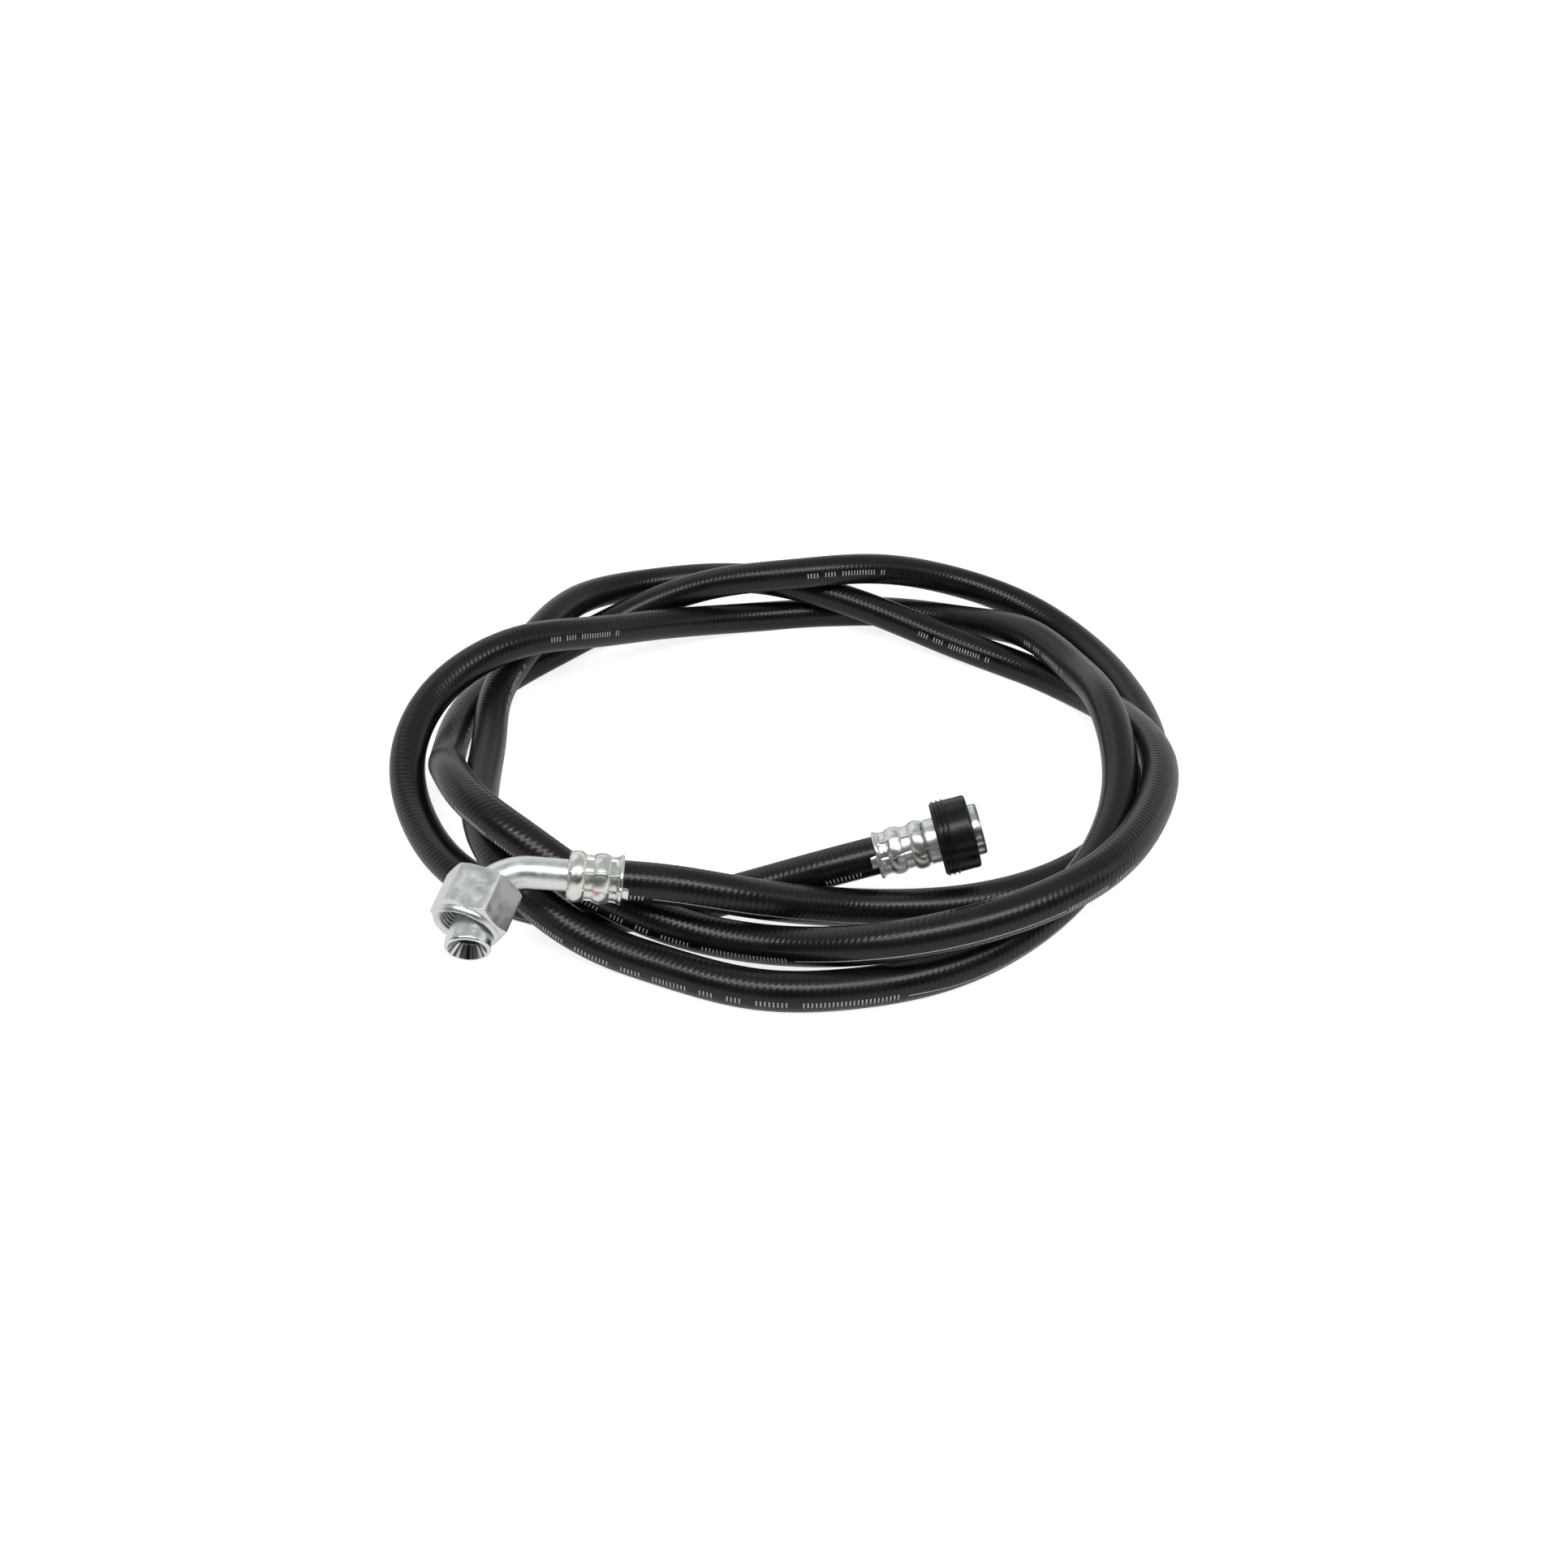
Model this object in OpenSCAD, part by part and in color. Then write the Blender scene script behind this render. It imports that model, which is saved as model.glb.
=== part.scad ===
// Hydraulic hose assembly: a rubber hose with one wire braid, lying in three loose loops,
// with a swept elbow and swivel nut on one end and a push-pull coupler on the other.
// Millimetres, +Z up. The origin is on the floor, in the middle of the assembly.

/* [Hose] */
// Outside diameter of the rubber cover
hose_od = 16; // [15:0.5:16.4]
// Outside diameter of the wire braid
braid_od = 13.6; // [13:0.2:14]
// Outside diameter of the inner tube
liner_od = 12.4; // [11.6:0.2:12.8]
// Bore of the inner tube
hose_id = 9.5; // [8.5:0.5:10]
// Share of its wall that the hose keeps where it is pressed flat on the floor
floor_keep = 0.7; // [0.5:0.05:0.9]

/* [Crimped ferrules] */
// Outside diameter of the flared lip at the mouth
lip_od = 19.8; // [19:0.2:21]
// Thickness of the flared lip
lip_t = 1.3; // [0.8:0.1:2]
// Outside diameter of the crimped grooves
groove_od = 17.4; // [17.2:0.1:18.4]
// Outside diameter over the crimped ridges
ridge_od = 20.2; // [19:0.2:21]
// Distance across the eight flats pressed by the crimping dies
crimp_af = 19.5; // [18.6:0.1:20]
// Length of the groove behind the lip
lip_groove_l = 3.6; // [2.5:0.1:5]
// Length of the front ridge
front_ridge_l = 6.7; // [5:0.1:8]
// Length of the groove between the ridges
mid_groove_l = 2.8; // [2:0.1:4]
// Length of the rear ridge
rear_ridge_l = 7; // [5.5:0.1:9]
// Thickness of the ferrule's end wall, which locks into a groove
end_wall_t = 2.6; // [2:0.1:3.5]
// Depth that the inner teeth bite into the cover
bite = 0.35; // [0.1:0.05:0.5]
// Width of the folded lug at the mouth
lug_w = 5.2; // [3:0.2:7]
// Length of the lug beyond the lip
lug_l = 2.2; // [1:0.1:4]
// Thickness of the lug
lug_t = 1; // [0.6:0.1:1.2]

/* [Barbed stems] */
// Outside diameter of the stem between its barbs
stem_od = 9.2; // [8.6:0.1:9.4]
// Outside diameter over the barbs
barb_od = 10; // [9.6:0.1:10.4]
// Number of barbs
barbs = 4; // [3:1:6]
// Bore through the stem
stem_id = 7; // [5:0.5:7.5]
// Thickness of the flange that the hose butts against
flange_t = 1; // [0.8:0.1:1.5]
// Outside diameter of that flange
flange_od = 15.6; // [14:0.2:15.8]

/* [Bent tube and nose] */
// Outside diameter of the steel tube
tube_od = 12.7; // [12:0.1:13]
// Bore of the steel tube
tube_id = 8.8; // [8:0.2:9.6]
// Straight length between the ferrule and the bend
tube_straight_l = 13.7; // [11:0.1:24]
// Bend radius at the tube's centre line
bend_r = 20; // [18:1:30]
// Length of the leg from the bend's end to the nose's tip
leg_l = 16.4; // [15:0.1:22]
// Outside diameter of the nose
nose_od = 17.3; // [17:0.1:17.6]
// Length of the nose
nose_l = 11; // [10:0.5:12]
// Length of the nose's tapered back
nose_taper_l = 7.5; // [6:0.5:8]
// Length of tube held in the nose
nose_socket_l = 5; // [3:0.5:5.5]
// Diameter of the cone seat at its mouth
seat_d = 14.7; // [13.5:0.1:15.5]
// Bore where the cone seat ends
seat_bore = 7.8; // [6:0.2:8.6]
// Half angle of the cone seat
seat_angle = 37; // [35:1:45]

/* [Swivel nut] */
// Distance across the flats of the hexagon
nut_af = 27; // [26:0.5:30]
// Length of the hexagon
nut_hex_l = 18.2; // [16:0.1:19]
// Whole length of the nut
nut_l = 20.5; // [20:0.1:21]
// Outside diameter of the round collar at its open end
nut_collar_od = 26.2; // [25:0.2:26.6]
// Diameter of the thread's crests
nut_thread_d = 20.4; // [20.2:0.1:21.6]
// Thickness of the nut's rear wall
nut_wall = 3; // [2:0.2:3.2]
// Diameter of the hole in the rear wall
nut_hole_d = 16.2; // [16:0.1:16.6]
// Angle of the loose nut to the nose
nut_tilt = 15.5; // [14:0.5:16]
// Angle at which the loose nut droops off the nose
nut_sway = 3; // [2:0.5:3]
// How far back round the bend the rear wall sits, along the tube
nut_back = 11.4; // [11.4:0.1:11.6]
// How far the rear wall's hole lies off the tube's middle, across the bend
nut_side = -0.3; // [-0.4:0.1:-0.2]
// How far it lies off the tube's middle, up the nut
nut_lift = 0.3; // [0.2:0.1:0.4]
// Turn of the hexagon on the nose
nut_turn = 5.5; // [0:0.5:60]
// Depth of the chamfer at the hexagon's corners
nut_chamfer = 0.7; // [0.4:0.1:1.4]
// Depth of the chamfer at the nut's open mouth
mouth_chamfer = 1.6; // [1:0.1:2]

/* [Coupler] */
// Bare neck between the ferrule and the cap
neck_l = 4.2; // [4.1:0.1:8]
// Diameter of the neck
neck_d = 18.6; // [17.8:0.1:18.8]
// Travel of the release sleeve
travel = 3.5; // [2.5:0.1:3.6]
// How far the guide flange inside the cap stands out past the barrel
guide_step = 2.5; // [2.2:0.1:2.7]
// Thickness of the guide flange
guide_t = 1; // [0.8:0.1:1.4]
// Gap between the guide flange and the cap's rear wall
guide_gap = 0.6; // [0.4:0.1:1]
// Length of the room for the spring, past the sleeve's travel
spring_spare = 2.1; // [2:0.1:2.6]
// Radial clearance of the sliding sleeve
slide_gap = 0.05; // [0.03:0.01:0.08]
// Outside diameter of the barrel
barrel_d = 17.5; // [17.3:0.1:18]
// Bore that takes the plug's shoulder
plug_d = 12.8; // [12.4:0.1:13.2]
// Length of the bore for the plug's shoulder
plug_l = 7.8; // [7:0.1:10]
// Bore that seals on the plug's tip
seal_d = 11; // [10.6:0.1:11.2]
// Length of the sealing bore in front of the gland
seal_land_l = 3.2; // [2.5:0.1:4]
// Length of the sealing bore behind the gland
seal_back_l = 2.1; // [1.5:0.1:3]
// Section of the O-ring
o_ring_t = 2.2; // [1.8:0.1:2.4]
// Thickness of the backup ring
backup_t = 1.2; // [0.8:0.1:1.5]
// Gap between the backup ring's bore and the sealing bore's
backup_gap = 0.35; // [0.3:0.05:0.5]
// Depth of the gland below the sealing bore
gland_depth = 1.8; // [1.5:0.1:2]
// Diameter of each locking ball
ball_d = 3; // [2.6:0.1:3]
// Clearance of a ball in its hole
ball_gap = 0.1; // [0.05:0.05:0.2]
// Distance from the barrel's front to the balls
ball_from_front = 6; // [5.8:0.1:6.4]
// Length of the sleeve's ring that holds the balls in
cam_l = 5.3; // [5:0.1:6]
// Width of the stop ring
stop_w = 0.9; // [0.7:0.1:1.1]
// Depth of the stop ring's groove
stop_depth = 0.75; // [0.5:0.05:1]
// How far the stop ring stands out past the barrel
stop_proud = 0.85; // [0.7:0.05:0.9]
// Clearance of the stop ring in its groove and in the sleeve
stop_gap = 0.1; // [0.1:0.05:0.2]
// Wire of the return spring
spring_wire = 1.2; // [0.8:0.1:1.3]
// Turns of the return spring
spring_turns = 2.5; // [1.5:0.5:2.5]

/* [Release sleeve and cap] */
// Wall of the sleeve inside the cap
sleeve_wall = 1; // [0.8:0.1:1.4]
// Wall of the sleeve's bare front ring
front_wall = 0.75; // [0.6:0.05:1]
// Length of the front ring outside the cap
front_l = 3.5; // [2.5:0.1:5]
// Wall of the rubber cap
cap_wall = 2.95; // [2.4:0.05:4]
// Length of the rubber cap
cap_l = 15; // [14:0.5:18]
// Thickness of the cap's rear wall
cap_rear_t = 0.8; // [0.6:0.1:1.2]
// Thickness of the cap's front wall
cap_front_t = 2.2; // [1.5:0.1:3]
// Rounding of the cap's front edge
cap_round = 1.6; // [0.8:0.1:2]
// Number of grip rings on the cap
grip_rings = 3; // [1:1:5]
// Spacing of the grip rings
grip_pitch = 2; // [1.6:0.1:2.4]

/* [Hidden] */

// Colours
rubber_black = "#1b1b1d";
wire_grey = "#8b8f92";
zinc = "#c9cfd1";
bright_zinc = "#dfe3e4";
ptfe_white = "#eceade";

// Where each ferrule's mouth is, and how each fitting is turned
elbow_mouth = [-63.8, -128, 38.6];
elbow_turn = [19, 9, 3];
coupler_mouth = [37, -97, 27];
coupler_rise = 15;
coupler_yaw = 4.5;
elbow_lug_turn = 22;
coupler_lug_turn = -111;

// Sizes that follow from the driving dimensions
hose_r = hose_od / 2;
ferrule_l = lip_t + lip_groove_l + front_ridge_l + mid_groove_l + rear_ridge_l;
hose_grip = ferrule_l - end_wall_t - flange_t;
stem_tip = 1.5;
lock_d = tube_od;
crimp_dies = 8;
braze_l = 0.6;
spigot_l = 4;
bend_z = ferrule_l + tube_straight_l;
nose_start = leg_l - nose_l;
rim_chamfer = (nose_od - seat_d) / 4;
seat_depth = (seat_d - seat_bore) / 2 / tan(seat_angle);
nut_corner_r = nut_af / 2 / cos(30);
nut_arc = 90 - nut_back / bend_r * 180 / PI;
guide_d = barrel_d + 2 * guide_step;
sleeve_id = guide_d + 2 * slide_gap;
sleeve_od = sleeve_id + 2 * sleeve_wall;
cap_od = sleeve_od + 2 * cap_wall;
stop_d = barrel_d + 2 * stop_proud;
front_id = stop_d + 5 * stop_gap;
front_od = front_id + 2 * front_wall;

// Stations along the coupler, from the ferrule's mouth
cap_z = ferrule_l + neck_l;
sleeve_z = cap_z + cap_rear_t;
guide_z = sleeve_z + guide_gap;
spring_z = guide_z + guide_t;
cam_z = spring_z + travel + spring_spare;
recess_z = cam_z + cam_l;
stop_z = recess_z + stop_gap / 2;
cap_front_z = cap_z + cap_l;
sleeve_front_z = cap_front_z + front_l;
ball_z = recess_z - ball_d / 2 - 4 * stop_gap;
barrel_front_z = ball_z + ball_from_front;
land_front_z = barrel_front_z - plug_l;
gland_front_z = land_front_z - seal_land_l;
gland_z = gland_front_z - backup_t - o_ring_t;
seat_z = gland_z - seal_back_l;
ball_ring_r = barrel_d / 2 - ball_d / 2 - 0.05;
ball_count = 8;

// The hose's route from the elbow to the coupler, by loop
loop_points = [
    // first loop: down from the elbow, round the front and right on the floor, up over the back
    [-14, -124, 26.5], [22, -112, 12], [65, -106, 7.5], [107, -92, 7],
    [141, -64, 6.4], [166, -21, 6.4], [175, 19, 6.4], [173, 60, 6.4],
    [156, 112, 8], [128, 141, 15], [88, 152, 25], [45, 142, 36.5],
    [4, 133, 38], [-43, 137, 29], [-83, 132, 15.5], [-119, 108, 7],
    [-146, 73, 7], [-157, 37, 11], [-155, -15, 19.5], [-145, -52, 38.5],
    // second loop: over the front left, along the front and right, across the back
    [-129, -83, 44], [-105, -104, 39.5], [-76, -117, 24.5], [-45, -125, 13],
    [-1, -136, 12], [40, -148, 24.5], [81, -142, 31], [123, -119, 35],
    [151, -79, 33], [165, -36, 30], [163, 10, 21.5], [154, 49, 10.5],
    [126, 86, 6.4], [90, 108, 10], [52, 128, 17], [2, 148, 24],
    [-38, 162, 21], [-75, 158, 19.5], [-107, 133, 24.5], [-129, 83, 26],
    [-141, 43, 20], [-139, 3, 18.5], [-135, -45, 20.5], [-122, -90, 25],
    // third loop: along the floor at the front, up the right, over the left
    [-101, -117, 19.5], [-75, -132, 10.5], [-49, -142, 7], [-11, -155, 6.4],
    [29, -154, 6.4], [66, -143, 7], [107, -118, 15], [135, -80, 22.5],
    [148, -35, 29.5], [148, 8, 34.5], [142, 53, 27], [125, 95, 23],
    [99, 128, 12], [59, 147, 7.5], [16, 148, 6.4], [-26, 139, 8],
    [-67, 114, 18], [-101, 81, 31.5], [-131, 56, 40], [-166, 22, 31],
    // last stretch: round the left on the floor and up to the coupler
    [-174, -13, 18], [-162, -50, 8], [-133, -88, 6.4], [-95, -107, 6.4],
    [-52, -107, 6.4], [-12, -98, 11],
];
elbow_way = [
    cos(elbow_turn.y) * cos(elbow_turn.z),
    cos(elbow_turn.y) * sin(elbow_turn.z),
    -sin(elbow_turn.y),
];
coupler_way = [
    cos(coupler_rise) * cos(coupler_yaw),
    cos(coupler_rise) * sin(coupler_yaw),
    sin(coupler_rise),
];
route = concat(
    [for (s = [-hose_grip, 0, hose_od]) elbow_mouth + s * elbow_way],
    loop_points,
    [for (s = [-hose_od, 0, hose_grip]) coupler_mouth + s * coupler_way]
);

// Tubes swept along a list of points

function unit(v) = v / norm(v);

function way_at(path, i) = unit(path[min(i + 1, len(path) - 1)] - path[max(i - 1, 0)]);

// One ring of points across the path at c, none of them below the height low
function ring(c, way, r, sides, low) =
    let (u = unit(cross(way, [0, 0, 1])), w = cross(u, way))
    [for (k = [0:sides - 1])
        let (a = 360 * k / sides - 90, q = c + r * (cos(a) * u + sin(a) * w))
        [q.x, q.y, max(q.z, low)]];

function rings(path, r, sides, low) =
    [for (i = [0:len(path) - 1]) each ring(path[i], way_at(path, i), r, sides, low)];

// The faces of a tube's wall; skin is 0 for an outer surface and 1 for a bore
function wall_faces(count, sides, first, skin) =
    [for (i = [0:count - 2]) for (k = [0:sides - 1])
        let (a = first + i * sides + k,
            b = first + i * sides + (k + 1) % sides,
            c = b + sides,
            d = a + sides)
        each skin == 0 ? [[a, b, c], [a, c, d]] : [[a, c, b], [a, d, c]]];

// The inner corner nearest to the middle of outer edge a
function nearest(a, no, ni) = floor((2 * a + 1) * ni / (2 * no) + 0.5);

// The faces of the flat ring between an outer and an inner circle of corners
function ring_faces(no, ni, first_o, first_i) = concat(
    [for (a = [0:no - 1])
        [first_o + a, first_o + (a + 1) % no, first_i + nearest(a, no, ni) % ni]],
    [for (a = [0:no - 1]) for (b = [nearest(a - 1, no, ni):1:nearest(a, no, ni) - 1])
        [first_o + a, first_i + (b + 1 + ni) % ni, first_i + (b + ni) % ni]]
);

function flipped(faces) = [for (f = faces) [f[0], f[2], f[1]]];

// How far above the floor a layer of radius r stays where the hose lies flat
function floor_under(r) = (hose_r - r) * floor_keep;

module hose_layer(outer_r, outer_sides, inner_r, inner_sides) {
    n = len(route);
    outer_end = n * outer_sides;
    polyhedron(
        points = concat(
            rings(route, outer_r, outer_sides, floor_under(outer_r)),
            rings(route, inner_r, inner_sides, floor_under(inner_r))
        ),
        faces = concat(
            wall_faces(n, outer_sides, 0, 0),
            wall_faces(n, inner_sides, outer_end, 1),
            flipped(ring_faces(outer_sides, inner_sides, 0, outer_end)),
            ring_faces(outer_sides, inner_sides, outer_end - outer_sides,
                outer_end + (n - 1) * inner_sides)
        ),
        convexity = 10
    );
}

module solid_tube(path, r, sides) {
    n = len(path);
    last = (n - 1) * sides;
    polyhedron(
        points = rings(path, r, sides, -1000),
        faces = concat(
            wall_faces(n, sides, 0, 0),
            [[for (k = [sides - 1:-1:0]) k]],
            [[for (k = [0:sides - 1]) last + k]]
        ),
        convexity = 6
    );
}

// Measures of the route: its length, and the least gap between two of its strands
gap_steps = 8;
gap_points = [for (i = [0:len(route) - 2]) for (k = [0:gap_steps - 1])
    route[i] + (route[i + 1] - route[i]) * k / gap_steps];
apart = 3 * gap_steps;
gap_count = len(gap_points);
least_gap = min([for (i = [0:gap_count - 1 - apart]) for (j = [i + apart:gap_count - 1])
    norm(gap_points[i] - gap_points[j])]) - hose_od;
route_l = [for (i = 0, s = 0; i < len(route); s = s + norm(route[min(i + 1, len(route) - 1)]
    - route[i]), i = i + 1) s][len(route) - 1];
echo(least_gap_of_the_hose_to_itself_mm = least_gap);
echo(length_of_the_hose_mm = route_l);

// Frames: +Z runs out of the hose into each fitting, +X points along the elbow's leg
module at_elbow() translate(elbow_mouth) rotate(elbow_turn) rotate([90, 0, -90]) children();

module at_coupler() {
    translate(coupler_mouth) rotate([0, 90 - coupler_rise, coupler_yaw]) children();
}

module at_leg() translate([bend_r, 0, bend_z + bend_r]) rotate([0, 90, 0]) children();

// Crimped ferrule

// A rounded ridge of a turned outline, from height z0 to z1
function ridge(z0, z1, low, high) = [for (i = [0:10])
    [low + (high - low) * pow(max(sin(18 * i), 0), 0.6), z0 + (z1 - z0) * i / 10]];

module crimped_ferrule(lug_turn) {
    ridge_a = lip_t + lip_groove_l;
    ridge_b = ridge_a + front_ridge_l + mid_groove_l;
    groove_r = groove_od / 2;
    difference() {
        union() {
            // the crimped shell: a turned outline pressed to eight flats
            intersection() {
                rotate_extrude($fn = 96) polygon(concat(
                    [[0, lip_t / 2], [groove_r, lip_t / 2]],
                    ridge(ridge_a, ridge_a + front_ridge_l, groove_r, ridge_od / 2),
                    ridge(ridge_b, ferrule_l, groove_r, ridge_od / 2),
                    [[0, ferrule_l]]
                ));
                rotate(180 / crimp_dies)
                    cylinder(d = crimp_af / cos(180 / crimp_dies), h = ferrule_l + 1,
                        $fn = crimp_dies);
            }
            // the flared lip
            rotate_extrude($fn = 96) polygon([
                [0, 0], [lip_od / 2 - 0.3, 0], [lip_od / 2, 0.4],
                [lip_od / 2, lip_t - 0.3], [groove_r, lip_t + 0.5], [0, lip_t + 0.5],
            ]);
            // the folded lug
            rotate(lug_turn) translate([hose_r + 0.1, -lug_w / 2, -lug_l])
                cube([lug_t, lug_w, lug_l + lip_t / 2]);
        }
        // the room for the hose, with two teeth that bite its cover, and the end wall's hole
        rotate_extrude($fn = 96) polygon([
            [0, -1], [hose_r, -1], [hose_r, lip_t + 1], [hose_r - bite, lip_t + 2],
            [hose_r, lip_t + 3], [hose_r, ridge_b - mid_groove_l],
            [hose_r - bite, ridge_b - mid_groove_l / 2], [hose_r, ridge_b],
            [hose_r, hose_grip], [hose_r, hose_grip + flange_t],
            [lock_d / 2, hose_grip + flange_t], [lock_d / 2, ferrule_l + 1],
            [0, ferrule_l + 1],
        ]);
    }
}

// The outline of a barbed stem and its flange, from the tip up to the end wall's groove
barb_pitch = (hose_grip - stem_tip - 1) / barbs;
stem_outline = concat(
    [[stem_id / 2, stem_tip], [stem_od / 2 - 0.4, stem_tip]],
    [for (i = [0:barbs - 1]) each [
        [stem_od / 2, stem_tip + 0.5 + i * barb_pitch],
        [barb_od / 2, stem_tip - 0.1 + (i + 1) * barb_pitch],
    ]],
    [
        [stem_od / 2, stem_tip + 0.5 + barbs * barb_pitch],
        [stem_od / 2, hose_grip], [flange_od / 2, hose_grip],
        [flange_od / 2, hose_grip + flange_t], [lock_d / 2, hose_grip + flange_t],
        [lock_d / 2, ferrule_l],
    ]
);

// Hose

module hose_cover() color(rubber_black) hose_layer(hose_r, 12, braid_od / 2, 8);

module hose_wire_braid() color(wire_grey) hose_layer(braid_od / 2, 8, liner_od / 2, 8);

module hose_inner_tube() color(rubber_black) hose_layer(liner_od / 2, 8, hose_id / 2, 8);

// Elbow end

module elbow_ferrule() color(zinc) at_elbow() crimped_ferrule(elbow_lug_turn);

module elbow_nipple() color(zinc) at_elbow() rotate_extrude($fn = 72) polygon(concat(
    stem_outline,
    [
        [tube_od / 2, ferrule_l + braze_l], [tube_id / 2, ferrule_l + braze_l],
        [tube_id / 2, ferrule_l + braze_l + spigot_l],
        [stem_id / 2, ferrule_l + braze_l + spigot_l],
    ]
));

module tube_section() difference() {
    circle(d = tube_od, $fn = 72);
    circle(d = tube_id, $fn = 72);
}

module elbow_bent_tube() color(bright_zinc) at_elbow() {
    start = ferrule_l + braze_l;
    translate([0, 0, start]) linear_extrude(bend_z - start) tube_section();
    translate([bend_r, 0, bend_z]) rotate([90, 0, 180])
        rotate_extrude(angle = 90, $fn = 96) translate([bend_r, 0]) tube_section();
    at_leg() linear_extrude(nose_start + nose_socket_l) tube_section();
}

module elbow_cone_nose() color(bright_zinc) at_elbow() at_leg()
    rotate_extrude($fn = 72) polygon([
        [tube_od / 2, nose_start], [tube_od / 2 + 0.5, nose_start],
        [nose_od / 2, nose_start + nose_taper_l], [nose_od / 2, leg_l - rim_chamfer],
        [nose_od / 2 - rim_chamfer, leg_l], [seat_d / 2, leg_l],
        [seat_bore / 2, leg_l - seat_depth], [seat_bore / 2, nose_start + nose_socket_l],
        [tube_od / 2, nose_start + nose_socket_l],
    ]);

// The nut hangs tilted on the bend, its rear wall round the tube
module at_nut() {
    translate([bend_r - bend_r * cos(nut_arc), 0, bend_z + bend_r * sin(nut_arc)])
        rotate([0, 90 - nut_tilt, 0]) rotate([nut_sway, 0, 0])
            translate([nut_side, nut_lift, -nut_wall / 2]) children();
}

module swivel_nut() color(bright_zinc) at_elbow() at_nut() difference() {
    union() {
        intersection() {
            rotate(nut_turn) cylinder(d = nut_af / cos(30), h = nut_hex_l, $fn = 6);
            rotate_extrude($fn = 96) polygon([
                [0, 0], [nut_corner_r - 2 * nut_chamfer, 0], [nut_corner_r, nut_chamfer],
                [nut_corner_r, nut_hex_l - nut_chamfer], [nut_af / 2, nut_hex_l + 0.1],
                [0, nut_hex_l + 0.1],
            ]);
        }
        rotate_extrude($fn = 96) polygon([
            [0, nut_hex_l - 1], [nut_collar_od / 2, nut_hex_l - 1],
            [nut_collar_od / 2, nut_l - 1.2], [nut_collar_od / 2 - 1.2, nut_l], [0, nut_l],
        ]);
    }
    rotate_extrude($fn = 96) polygon([
        [0, -1], [nut_hole_d / 2 + 1.8, -1], [nut_hole_d / 2, 0.8],
        [nut_hole_d / 2, nut_wall], [nut_thread_d / 2, nut_wall + 1.5],
        [nut_thread_d / 2, nut_l - mouth_chamfer],
        [nut_thread_d / 2 + mouth_chamfer + 1, nut_l + 1],
        [0, nut_l + 1],
    ]);
}

// Coupler end

module coupler_ferrule() color(zinc) at_coupler() crimped_ferrule(coupler_lug_turn);

module coupler_body() color(bright_zinc) at_coupler() difference() {
    rotate_extrude($fn = 96) polygon(concat(
        stem_outline,
        [
            // outside: neck, guide flange, barrel with the stop ring's groove
            [neck_d / 2, ferrule_l], [neck_d / 2, guide_z],
            [guide_d / 2, guide_z], [guide_d / 2, spring_z],
            [barrel_d / 2, spring_z], [barrel_d / 2, recess_z],
            [barrel_d / 2 - stop_depth, recess_z],
            [barrel_d / 2 - stop_depth, recess_z + stop_w + stop_gap],
            [barrel_d / 2, recess_z + stop_w + stop_gap],
            [barrel_d / 2, barrel_front_z - 0.6], [barrel_d / 2 - 0.6, barrel_front_z],
            // inside: plug bore, sealing bore with its gland, seat
            [plug_d / 2 + 0.7, barrel_front_z], [plug_d / 2, barrel_front_z - 0.7],
            [plug_d / 2, land_front_z + 0.4], [seal_d / 2 + 0.3, land_front_z],
            [seal_d / 2, land_front_z - 0.3],
            [seal_d / 2, gland_front_z], [seal_d / 2 + gland_depth, gland_front_z],
            [seal_d / 2 + gland_depth, gland_z], [seal_d / 2, gland_z],
            [seal_d / 2, seat_z], [stem_id / 2, seat_z - (seal_d - stem_id) / 2],
        ]
    ));
    for (k = [1:ball_count]) rotate(360 * k / ball_count) translate([0, 0, ball_z])
        rotate([0, 90, 0]) translate([0, 0, plug_d / 2 - 1])
            cylinder(d = ball_d + ball_gap, h = barrel_d / 2 - plug_d / 2 + 2, $fn = 36);
}

module coupler_o_ring() color(rubber_black) at_coupler()
    translate([0, 0, gland_z + o_ring_t / 2]) rotate_extrude($fn = 72)
        translate([seal_d / 2 + gland_depth - o_ring_t / 2, 0])
            circle(d = o_ring_t, $fn = 36);

module coupler_backup_ring() color(ptfe_white) at_coupler()
    translate([0, 0, gland_front_z - backup_t]) difference() {
        cylinder(d = seal_d + 2 * gland_depth, h = backup_t, $fn = 72);
        translate([0, 0, -1]) cylinder(d = seal_d + 2 * backup_gap, h = backup_t + 2, $fn = 72);
    }

module coupler_stop_ring() color(wire_grey) at_coupler()
    translate([0, 0, stop_z]) rotate(15) rotate_extrude(angle = 330, $fn = 96)
        translate([barrel_d / 2 - stop_depth + stop_gap / 2, 0])
            square([stop_proud + stop_depth - stop_gap / 2, stop_w]);

spring_r = (barrel_d + sleeve_id) / 4;
spring_l = cam_z - spring_z - spring_wire;
spring_path = [for (i = [0:8 * spring_turns]) [
    spring_r * cos(45 * i), spring_r * sin(45 * i),
    spring_z + spring_wire / 2 + spring_l * i / (8 * spring_turns),
]];
echo(least_gap_of_the_spring_to_itself_mm = spring_l / spring_turns - spring_wire);

module coupler_spring() color(wire_grey) at_coupler()
    solid_tube(spring_path, spring_wire / 2, 6);

module lock_ball(k) color(bright_zinc) at_coupler() rotate(360 * k / ball_count)
    translate([ball_ring_r, 0, ball_z]) sphere(d = ball_d, $fn = 32);

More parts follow.
